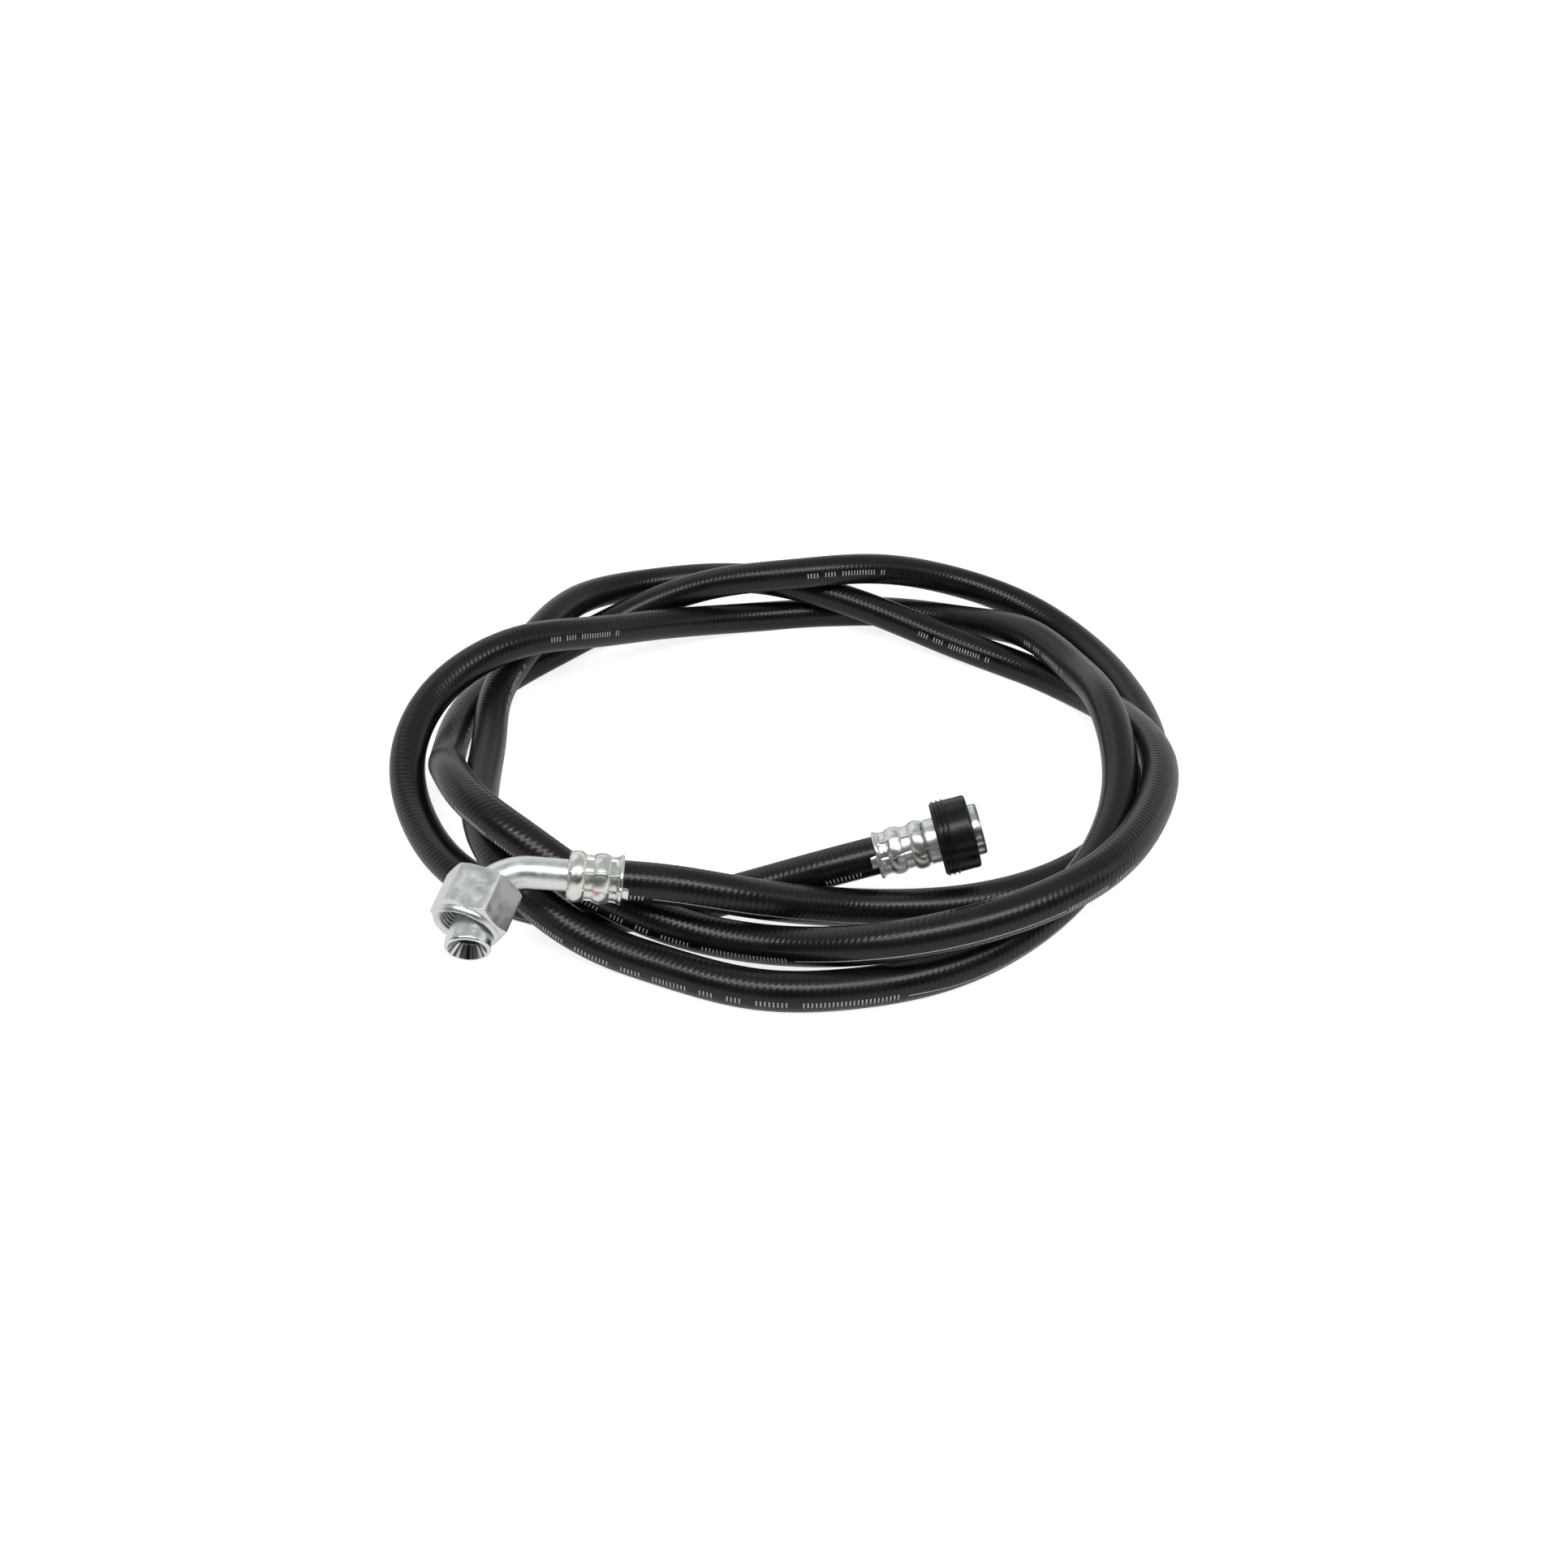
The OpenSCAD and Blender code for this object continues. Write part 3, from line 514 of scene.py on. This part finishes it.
def noise(tree, vector, scale, detail, rough=0.55):
    n = tree.nodes.new("ShaderNodeTexNoise")
    n.inputs["Scale"].default_value = scale
    n.inputs["Detail"].default_value = detail
    n.inputs["Roughness"].default_value = rough
    tree.links.new(vector, n.inputs["Vector"])
    return n.outputs["Fac"]


def wave(tree, vector, direction, pitch, distortion, detail=2.0, detail_scale=1.0):
    """Even bands across X or Y, a pitch in metres apart."""
    w = tree.nodes.new("ShaderNodeTexWave")
    w.bands_direction = direction
    w.inputs["Scale"].default_value = 2 * math.pi / 20 / pitch
    w.inputs["Distortion"].default_value = distortion
    w.inputs["Detail"].default_value = detail
    w.inputs["Detail Scale"].default_value = detail_scale
    tree.links.new(vector, w.inputs["Vector"])
    return w.outputs["Fac"]


def ramp(tree, value, stops):
    r = tree.nodes.new("ShaderNodeValToRGB")
    while len(r.color_ramp.elements) < len(stops):
        r.color_ramp.elements.new(0.5)
    for e, (at, c) in zip(r.color_ramp.elements, stops):
        e.position = at
        e.color = (*c, 1)
    tree.links.new(value, r.inputs["Fac"])
    return r.outputs["Color"]


def remap(tree, value, low, high, start=0.0, end=1.0):
    """The value from start to end, spread over low to high."""
    r = tree.nodes.new("ShaderNodeMapRange")
    r.inputs["From Min"].default_value = start
    r.inputs["From Max"].default_value = end
    r.inputs["To Min"].default_value = low
    r.inputs["To Max"].default_value = high
    tree.links.new(value, r.inputs["Value"])
    return r.outputs["Result"]


def maths(tree, kind, a, b):
    m = tree.nodes.new("ShaderNodeMath")
    m.operation = kind
    for socket, v in zip(m.inputs, (a, b)):
        if isinstance(v, (int, float)):
            socket.default_value = v
        else:
            tree.links.new(v, socket)
    return m.outputs["Value"]


def weighted(tree, *parts):
    """The sum of some values, each with its weight."""
    total = None
    for value, weight in parts:
        part = value if weight == 1 else maths(tree, "MULTIPLY", value, weight)
        total = part if total is None else maths(tree, "ADD", total, part)
    return total


def bump(tree, shader, height, distance):
    b = tree.nodes.new("ShaderNodeBump")
    b.inputs["Distance"].default_value = distance
    b.inputs["Strength"].default_value = 1.0
    tree.links.new(height, b.inputs["Height"])
    tree.links.new(b.outputs["Normal"], shader.inputs["Normal"])


def hose_rubber():
    """Black cover rubber with the ripple and weave that its cloth wrap pressed into it."""
    m, tree, shader = material("hose_cover_rubber", (0.021, 0.0195, 0.02), 0, 0.45)
    ripple = wave(tree, place(tree, source="UV", turn=(0, 0, 0.35)), "X", RIPPLE, 0.9, 1.5, 1.5)
    weave = wave(tree, place(tree, source="UV"), "Y", WEAVE, 2.0, 1.0)
    solid = place(tree)
    grain = noise(tree, solid, 1800, 3)
    patches = noise(tree, solid, 60, 4)
    bump(tree, shader, weighted(tree, (ripple, 1), (weave, 0.12), (grain, 0.3)), 0.000065)
    tree.links.new(ramp(tree, patches, [(0.3, (0.0052, 0.0034, 0.0038)),
                                        (0.7, (0.0092, 0.0066, 0.007))]),
                   shader.inputs["Base Color"])
    tree.links.new(remap(tree, patches, 0.22, 0.32, 0.3, 0.7), shader.inputs["Roughness"])
    shader.inputs["Specular IOR Level"].default_value = 0.42
    shader.inputs["Specular Tint"].default_value = (1.0, 0.95, 0.98, 1)
    return m


def paint_dab(tree, solid, shader, metal, mark):
    """A ragged dab of pink paint on the metal. mark is its middle, its half length and its half
    width on the UV map."""
    middle_u, middle_v, half_u, half_v = mark
    split = tree.nodes.new("ShaderNodeSeparateXYZ")
    tree.links.new(place(tree, source="UV"), split.inputs["Vector"])
    u, v = split.outputs["X"], split.outputs["Y"]
    du = maths(tree, "DIVIDE", maths(tree, "SUBTRACT", u, middle_u), half_u)
    dv = maths(tree, "DIVIDE", maths(tree, "SUBTRACT", v, middle_v), half_v)
    squares = maths(tree, "ADD", maths(tree, "MULTIPLY", du, du), maths(tree, "MULTIPLY", dv, dv))
    far = maths(tree, "SQRT", squares, 0)
    ragged = weighted(tree, (far, 1), (noise(tree, solid, 900, 3), 0.8))
    mask = remap(tree, ragged, 0.85, 0.0, 0.9, 1.3)
    mix = tree.nodes.new("ShaderNodeMix")
    mix.data_type = "RGBA"
    mix.inputs["B"].default_value = PINK
    tree.links.new(mask, mix.inputs["Factor"])
    tree.links.new(metal, mix.inputs["A"])
    tree.links.new(remap(tree, mask, 1.0, 0.35), shader.inputs["Metallic"])
    return mix.outputs["Result"]


def zinc(name, color, rough, lines=0.0, dull=None, mark=None, grain=0.35, cloudy=0.9):
    """Zinc plate: clouds between its colour and a duller one, a fine grain and, where lines is
    given, fine tool lines round the piece. mark is for a dab of paint."""
    m, tree, shader = material(name, color, 1.0, rough)
    solid = place(tree)
    cloud = noise(tree, solid, 220, 4)
    fine = noise(tree, solid, 2600, 2)
    dull = dull or tuple(0.9 * c for c in color)
    bright = tuple(min(1.0, 1.05 * c) for c in color)
    tone = ramp(tree, cloud, [(0.32, dull), (0.68, bright)])
    if mark:
        tone = paint_dab(tree, solid, shader, tone, mark)
    tree.links.new(tone, shader.inputs["Base Color"])
    tree.links.new(remap(tree, cloud, rough * 0.75, rough * 1.35, 0.3, 0.7),
                   shader.inputs["Roughness"])
    height = weighted(tree, (cloud, cloudy), (fine, grain))
    if lines:
        tooled = wave(tree, place(tree, source="UV"), "X", TOOL_LINES, 0.6)
        height = weighted(tree, (height, 1), (tooled, lines))
    bump(tree, shader, height, 0.00003)
    return m


def cap_rubber():
    """Smooth black rubber, a little smeared along the coupler."""
    m, tree, shader = material("cap_rubber", (0.02, 0.02, 0.021), 0, 0.4)
    grain = noise(tree, place(tree), 900, 4)
    smear = noise(tree, place(tree, scale=(1, 1, 0.35)), 130, 4)
    tree.links.new(ramp(tree, smear, [(0.35, (0.0055, 0.0052, 0.0054)),
                                      (0.7, (0.0115, 0.011, 0.0112))]),
                   shader.inputs["Base Color"])
    tree.links.new(remap(tree, smear, 0.2, 0.3, 0.3, 0.7), shader.inputs["Roughness"])
    shader.inputs["Specular IOR Level"].default_value = 0.3
    bump(tree, shader, grain, 0.00005)
    return m


def plain(name, color, metallic, rough, scale=700, depth=0.00003):
    """A cloudy colour with a fine grain, for the pieces inside and the small faces."""
    m, tree, shader = material(name, color, metallic, rough)
    cloud = noise(tree, place(tree), scale, 3)
    tree.links.new(ramp(tree, cloud, [(0.3, tuple(0.85 * c for c in color)),
                                      (0.7, tuple(min(1, 1.1 * c) for c in color))]),
                   shader.inputs["Base Color"])
    tree.links.new(remap(tree, cloud, rough * 0.8, rough * 1.25, 0.3, 0.7),
                   shader.inputs["Roughness"])
    bump(tree, shader, cloud, depth)
    return m


def ink():
    """The pale ink of the print, a little worn."""
    m, tree, shader = material("print_ink", (0.5, 0.55, 0.6), 0, 0.5)
    worn = noise(tree, place(tree), 1500, 4)
    tree.links.new(ramp(tree, worn, [(0.3, (0.32, 0.36, 0.4)), (0.6, (0.6, 0.66, 0.72))]),
                   shader.inputs["Base Color"])
    return m


def cone_seat_painted_reflections():
    """The turned seat inside the nose, with painted reflections: narrow bright and dark rays
    towards its bore.
    """
    m, tree, shader = material("cone_seat_painted_reflections", (0.5, 0.5, 0.5), 1.0, 0.16)
    reflection_rays = noise(tree, place(tree, scale=(0, 26, 0), source="UV"), 1.0, 2, 0.6)
    tree.links.new(ramp(tree, reflection_rays, [(0.4, (0.05, 0.045, 0.04)), (0.5, (0.45, 0.46, 0.47)),
                                     (0.6, (0.85, 0.87, 0.88))]),
                   shader.inputs["Base Color"])
    bump(tree, shader, noise(tree, place(tree), 2000, 2), 0.00001)
    return m


HOSE_MAT = hose_rubber()
FERRULE_MAT = zinc("elbow_ferrule_zinc", (0.84, 0.86, 0.8), 0.26, 0.0, (0.78, 0.81, 0.72),
                   (0.0131, 0.056, 0.0016, 0.03))
COUPLER_FERRULE_MAT = zinc("coupler_ferrule_zinc", (0.82, 0.83, 0.79), 0.27, 0.0,
                           (0.76, 0.78, 0.72), (0.0131, 0.743, 0.0013, 0.024))
TUBE_MAT = zinc("tube_zinc", (0.83, 0.85, 0.85), 0.33, 0.4, (0.78, 0.81, 0.81), None, 0.2, 0.4)
NOSE_MAT = zinc("nose_zinc", (0.83, 0.85, 0.85), 0.22, 0.4, (0.76, 0.79, 0.8), None, 0.1, 0.2)
RING_MAT = zinc("ring_zinc", (0.74, 0.79, 0.8), 0.2, 0.6, (0.62, 0.72, 0.74), None, 0.2, 0.5)
NUT_MAT = zinc("nut_zinc", (0.8, 0.82, 0.82), 0.33, 0.0, (0.77, 0.785, 0.785), None, 0.04, 0.1)
# A near-black copy of the nut's zinc for the thread's roots: painted shade.
THREAD_SHADE_MAT = zinc("nut_thread_painted_shade", (0.02, 0.019, 0.018), 0.5)
# Metal whose colour holds painted reflections: bright and dark rays.
SEAT_REFLECTION_MAT = cone_seat_painted_reflections()
CAP_MAT = cap_rubber()
INK_MAT = ink()
LINER_MAT = plain("liner_rubber", (0.02, 0.02, 0.02), 0, 0.5)
SEAL_MAT = plain("seal_rubber", (0.018, 0.018, 0.02), 0, 0.35)
WIRE_MAT = plain("spring_steel", (0.45, 0.45, 0.46), 1, 0.3)
BALL_MAT = plain("ball_steel", (0.62, 0.62, 0.64), 1, 0.12, 1500, 0.00001)
# A bright, less metallic copy for the thread's crests: a painted highlight.
CREST_HIGHLIGHT_MAT = plain("nut_thread_painted_highlight", (0.8, 0.81, 0.82), 0.25, 0.35)
# A darker copy of the ring's metal for its front edge: a painted dark reflection.
EDGE_DARK_REFLECTION_MAT = plain("ring_edge_painted_reflection", (0.3, 0.33, 0.34), 1, 0.3)
PTFE_MAT = plain("backup_ptfe", (0.82, 0.8, 0.75), 0, 0.5)

# ---------------------------------------------------------------- pieces on their nodes

for names, mat in (         # the CAD solids' own materials
    (("hose_cover",), HOSE_MAT),
    (("hose_inner_tube",), LINER_MAT),
    (("elbow_ferrule", "coupler_ferrule", "elbow_nipple"), FERRULE_MAT),
    (("elbow_bent_tube", "elbow_cone_nose", "coupler_body", "release_sleeve"), TUBE_MAT),
    (("swivel_nut",), NUT_MAT),
    (("coupler_o_ring",), SEAL_MAT),
    (("coupler_backup_ring",), PTFE_MAT),
    (("hose_wire_braid", "coupler_stop_ring", "coupler_spring"), WIRE_MAT),
    (tuple("lock_ball_%d" % k for k in range(1, 9)), BALL_MAT),
    (("coupler_cap",), CAP_MAT),
):
    for n in names:
        NODE[n].data.materials.clear()
        NODE[n].data.materials.append(mat)

for piece, node, body, mat, slot in (
    (elbow_shell, "elbow_ferrule", "hose_line", FERRULE_MAT, "zinc_ferrule"),
    (coupler_shell, "coupler_ferrule", "hose_line", COUPLER_FERRULE_MAT, "zinc_ferrule"),
    (tube, "elbow_bent_tube", "hose_line", TUBE_MAT, "zinc_tube"),
    (nose, "elbow_cone_nose", "hose_line", NOSE_MAT, "zinc_tube"),
    (nut, "swivel_nut", "swivel_nut", NUT_MAT, "zinc_nut"),
    (cap, "coupler_cap", "release_sleeve", CAP_MAT, "cap_rubber"),
    (sleeve, "release_sleeve", "release_sleeve", RING_MAT, "zinc_tube"),
    (hose, "hose_cover", "hose_line", HOSE_MAT, "hose_rubber"),
    (braid, "hose_wire_braid", "hose_line", WIRE_MAT, "steel_wire"),
    (liner, "hose_inner_tube", "hose_line", LINER_MAT, "liner_rubber"),
):
    piece.data.materials.append(mat)
    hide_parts(node)
    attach(piece, body)
for piece in lugs:
    piece.data.materials.append(FERRULE_MAT)
    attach(piece, "hose_line")


def repaint(piece, matrix, extra, choose):
    """Gives some faces of a piece one of the extra materials. choose(r, z, angle) names it by its
    number, from the middle of a face in the piece's own frame, or gives 0 to leave the face."""
    for mat in extra:
        piece.data.materials.append(mat)
    own = matrix.inverted()
    for face in piece.data.polygons:
        p = own @ (face.center / MM)
        which = choose(math.hypot(p.x, p.y), p.z, math.atan2(p.y, p.x))
        if which:
            face.material_index = which


def thread_shade_and_highlight(r, z, a):
    """Painted shade in the thread's roots, from a dark material there, and a painted highlight on
    its crests, from a bright one.
    """
    if 9.9 < r < 11.6 and 4.5 < z < 19.3:
        return 1 if 0.36 < thread_phase(z, a) < 0.82 else 2
    return 0


# The nut's thread gets painted shade in its roots and a painted highlight on its crests.
repaint(nut, NUT, (THREAD_SHADE_MAT, CREST_HIGHLIGHT_MAT), thread_shade_and_highlight)
# The nose's seat gets painted reflections.
repaint(nose, LEG, (SEAT_REFLECTION_MAT,), lambda r, z, a: int(r < 7.3 and z > LEG_L - 4.9))
# The ring's front chamfer gets a painted dark reflection.
repaint(sleeve, COUPLER, (EDGE_DARK_REFLECTION_MAT,), lambda r, z, a: int(r > 10.0 and z > 42.95))

# ---------------------------------------------------------------- the hose's print

def between(keys, s):
    """The value at s of a line through the keys, eased between them."""
    for (s0, a0), (s1, a1) in zip(keys, keys[1:]):
        if s <= s1:
            return a0 + (a1 - a0) * smooth_step((s - s0) / (s1 - s0))
    return keys[-1][1]


# Where the two lines of print lie round the hose as it twists: (arc length, degrees) pairs.
LAY_TURN = [(0, -14), (860, -6), (958, -2), (982, -16), (1040, -4), (1107, -8), (1212, -8),
            (1240, -2), (1260, -8), (2000, -4), (2034, -6), (2100, 0), (2150, -2), (2178, -12),
            (3140, -12)]
DATE_TURN = [(0, 166), (577, 168), (865, 160), (1508, 166), (1827, 164), (2427, 180), (2735, 169),
             (3140, 166)]
# Where each long dash starts, and where each small group on the other side has its middle.
DASH_AT = (30, 299, 568, 838, 1107, 1368, 1630, 1891, 2152, 2414, 2676, 2938, 3200)
DATE_AT = (260, 577, 865, 1190, 1508, 1827, 2120, 2427, 2735, 3040)
# The groups before each of these: how far back they start, how many characters each has, the
# pitch of the characters and the gap after a group.
LAY_GROUPS = ((155, (8,), 2.4, 0), (131, (5, 3, 5, 2, 2, 4, 12), 3.05, 4.6))
DATE_GROUPS = ((22, (1, 6, 2, 2), 3.1, 2.6),)
DASH_L, DASH_HALF = 105, 0.24
BAR_W, BAR_HALF = 0.5, 1.25
INK_LIFT = 0.04             # how far the ink stands off the hose


def print_marks():
    """Long dashes with groups of short bars between them, and on the other side small groups of
    bars. They stand for the print and spell nothing."""
    verts, faces = [], []
    first_s, last_s = GRIP + 3, HOSE_L - GRIP - 3

    def strip(turn, s0, s1, half):
        """A strip of ink from s0 to s1 along the hose, cut finely enough to follow its round."""
        s0, s1 = max(s0, first_s), min(s1, last_s)
        if s1 <= s0:
            return
        n = max(1, math.ceil((s1 - s0) / 3))
        wide = max(1, math.ceil(2 * half / 0.6))
        first = len(verts)
        for i in range(n + 1):
            s = s0 + (s1 - s0) * i / n
            a = math.radians(between(turn, s))
            for d in steps(-half, half, wide):
                verts.append(on_hose(s, a + d / HOSE_R, HOSE_R + INK_LIFT))
        for i in range(n):
            for j in range(wide):
                k = first + (wide + 1) * i + j
                faces.append((k, k + 1, k + wide + 2, k + wide + 1))

    def bars(turn, at, groups):
        """Two bars for each character of the groups."""
        for back, counts, pitch, gap in groups:
            s = at - back
            for count in counts:
                for k in range(count):
                    strip(turn, s, s + BAR_W, BAR_HALF)
                    strip(turn, s + 0.5 * pitch, s + 0.5 * pitch + BAR_W, BAR_HALF)
                    s += pitch
                s += gap

    for at in DASH_AT:
        strip(LAY_TURN, at, at + DASH_L, DASH_HALF)
        bars(LAY_TURN, at, LAY_GROUPS)
    for at in DATE_AT:
        bars(DATE_TURN, at, DATE_GROUPS)
    mesh = new_mesh("hose_print", verts, faces)
    mesh.materials.append(INK_MAT)
    mesh.update()
    return link("hose_print", mesh)


hose_print = print_marks()
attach(hose_print, "hose_line")

# ---------------------------------------------------------------- floor, light and background

CAMERA_GLOW = (0.84, 0.98)  # how white the camera sees the floor, near the object and far off
GLOSS_GLOW = 0.35           # the part of that glow that shows in the metal


def mixed(tree, factor, first, second):
    """The first shader where the factor is 0, the second where it is 1."""
    mix = tree.nodes.new("ShaderNodeMixShader")
    tree.links.new(factor, mix.inputs["Fac"])
    tree.links.new(first, mix.inputs[1])
    tree.links.new(second, mix.inputs[2])
    return mix.outputs["Shader"]


def pale_floor():
    """A pale floor. To the camera it also glows, so that it turns into a clean white sweep which
    keeps a faint shadow."""
    m, tree, shader = material("pale_floor", (0.6, 0.6, 0.6), 0, 0.9)
    tree.links.new(ramp(tree, noise(tree, place(tree), 3, 2),
                        [(0.3, (0.59, 0.59, 0.59)), (0.7, (0.61, 0.61, 0.61))]),
                   shader.inputs["Base Color"])
    away = tree.nodes.new("ShaderNodeVectorMath")
    away.operation = "LENGTH"
    tree.links.new(place(tree), away.inputs[0])
    glow = tree.nodes.new("ShaderNodeEmission")
    tree.links.new(remap(tree, away.outputs["Value"], *CAMERA_GLOW, 0.2, 0.8),
                   glow.inputs["Strength"])
    off = tree.nodes.new("ShaderNodeEmission")
    off.inputs["Strength"].default_value = 0.0
    ray = tree.nodes.new("ShaderNodeLightPath")
    mirrored = maths(tree, "MAXIMUM", ray.outputs["Is Glossy Ray"],
                     ray.outputs["Is Transmission Ray"])
    shown = maths(tree, "MAXIMUM", ray.outputs["Is Camera Ray"],
                  maths(tree, "MULTIPLY", mirrored, GLOSS_GLOW))
    both = tree.nodes.new("ShaderNodeAddShader")
    tree.links.new(shader.outputs["BSDF"], both.inputs[0])
    tree.links.new(mixed(tree, shown, off.outputs["Emission"], glow.outputs["Emission"]),
                   both.inputs[1])
    tree.links.new(both.outputs["Shader"], tree.nodes["Material Output"].inputs["Surface"])
    return m


def studio():
    """The world: white to the camera, soft light on the object, and in gloss a studio whose half in
    front of the object is unlit."""
    world = bpy.data.worlds.new("studio")
    bpy.context.scene.world = world
    world.use_nodes = True
    tree = world.node_tree
    fill = tree.nodes["Background"]
    seen, room = (tree.nodes.new("ShaderNodeBackground") for _ in range(2))
    for background, strength in ((fill, 0.3), (seen, 1.0), (room, 1.0)):
        background.inputs["Color"].default_value = (1, 1, 1, 1)
        background.inputs["Strength"].default_value = strength

    # What gloss shows, by the way it looks: Y is away from the camera, Z is up.
    way = tree.nodes.new("ShaderNodeSeparateXYZ")
    tree.links.new(place(tree, source="Generated"), way.inputs["Vector"])
    front = remap(tree, way.outputs["Y"], 0.0, 1.0, 0.35, -0.45)
    low = remap(tree, way.outputs["Z"], 0.0, 1.0, 0.0, 0.12)
    high = remap(tree, way.outputs["Z"], 1.0, 0.0, 0.62, 0.85)
    dark = maths(tree, "MULTIPLY", front, maths(tree, "MULTIPLY", low, high))
    gear = noise(tree, place(tree, source="Generated"), 5.5, 1, 0.4)    # things standing about
    dark = maths(tree, "MAXIMUM", dark, remap(tree, gear, 0.0, 0.35, 0.53, 0.57))
    shade = ramp(tree, dark, [(0.0, (1.0, 1.0, 1.0)), (0.5, (0.45, 0.45, 0.46)),
                              (1.0, (0.085, 0.082, 0.08))])
    sweep = ramp(tree, way.outputs["Z"], [(0.0, (0.95, 0.95, 0.93)), (0.22, (0.95, 0.95, 0.94)),
                                          (0.55, (0.48, 0.53, 0.56)), (1.0, (0.45, 0.46, 0.46))])
    tone = tree.nodes.new("ShaderNodeMix")
    tone.data_type = "RGBA"
    tone.blend_type = "MULTIPLY"
    tone.inputs["Factor"].default_value = 1.0
    tree.links.new(sweep, tone.inputs["A"])
    tree.links.new(shade, tone.inputs["B"])
    tree.links.new(tone.outputs["Result"], room.inputs["Color"])

    ray = tree.nodes.new("ShaderNodeLightPath")
    lit = mixed(tree, ray.outputs["Is Glossy Ray"], fill.outputs["Background"],
                room.outputs["Background"])
    straight = maths(tree, "MAXIMUM", ray.outputs["Is Camera Ray"],
                     ray.outputs["Is Transmission Ray"])
    tree.links.new(mixed(tree, straight, lit, seen.outputs["Background"]),
                   tree.nodes["World Output"].inputs["Surface"])


def softbox(name, at, aim, size, watts):
    data = bpy.data.lights.new(name, "AREA")
    data.shape = "RECTANGLE"
    data.size, data.size_y = size
    data.energy = watts
    lamp = link(name, data)
    lamp.location = at
    lamp.rotation_euler = (Vector(aim) - Vector(at)).to_track_quat("-Z", "Y").to_euler()


ground = bpy.data.meshes.new("floor")
ground.from_pydata([(-3, -3, 0), (3, -3, 0), (3, 3, 0), (-3, 3, 0)], [], [(0, 1, 2, 3)])
ground.materials.append(pale_floor())
floor = link("floor", ground)
floor.location.z = -0.0002
studio()
softbox("top_softbox", (0.0, -0.55, 0.95), (0, -0.1, 0), (1.5, 0.25), 8.2)
softbox("back_softbox", (-0.5, 0.7, 0.9), (0, 0, 0), (0.9, 0.6), 0.8)
softbox("side_softbox", (1.1, -0.2, 0.6), (0, 0, 0), (0.3, 0.6), 0.6)
bpy.context.scene.view_settings.view_transform = "Standard"
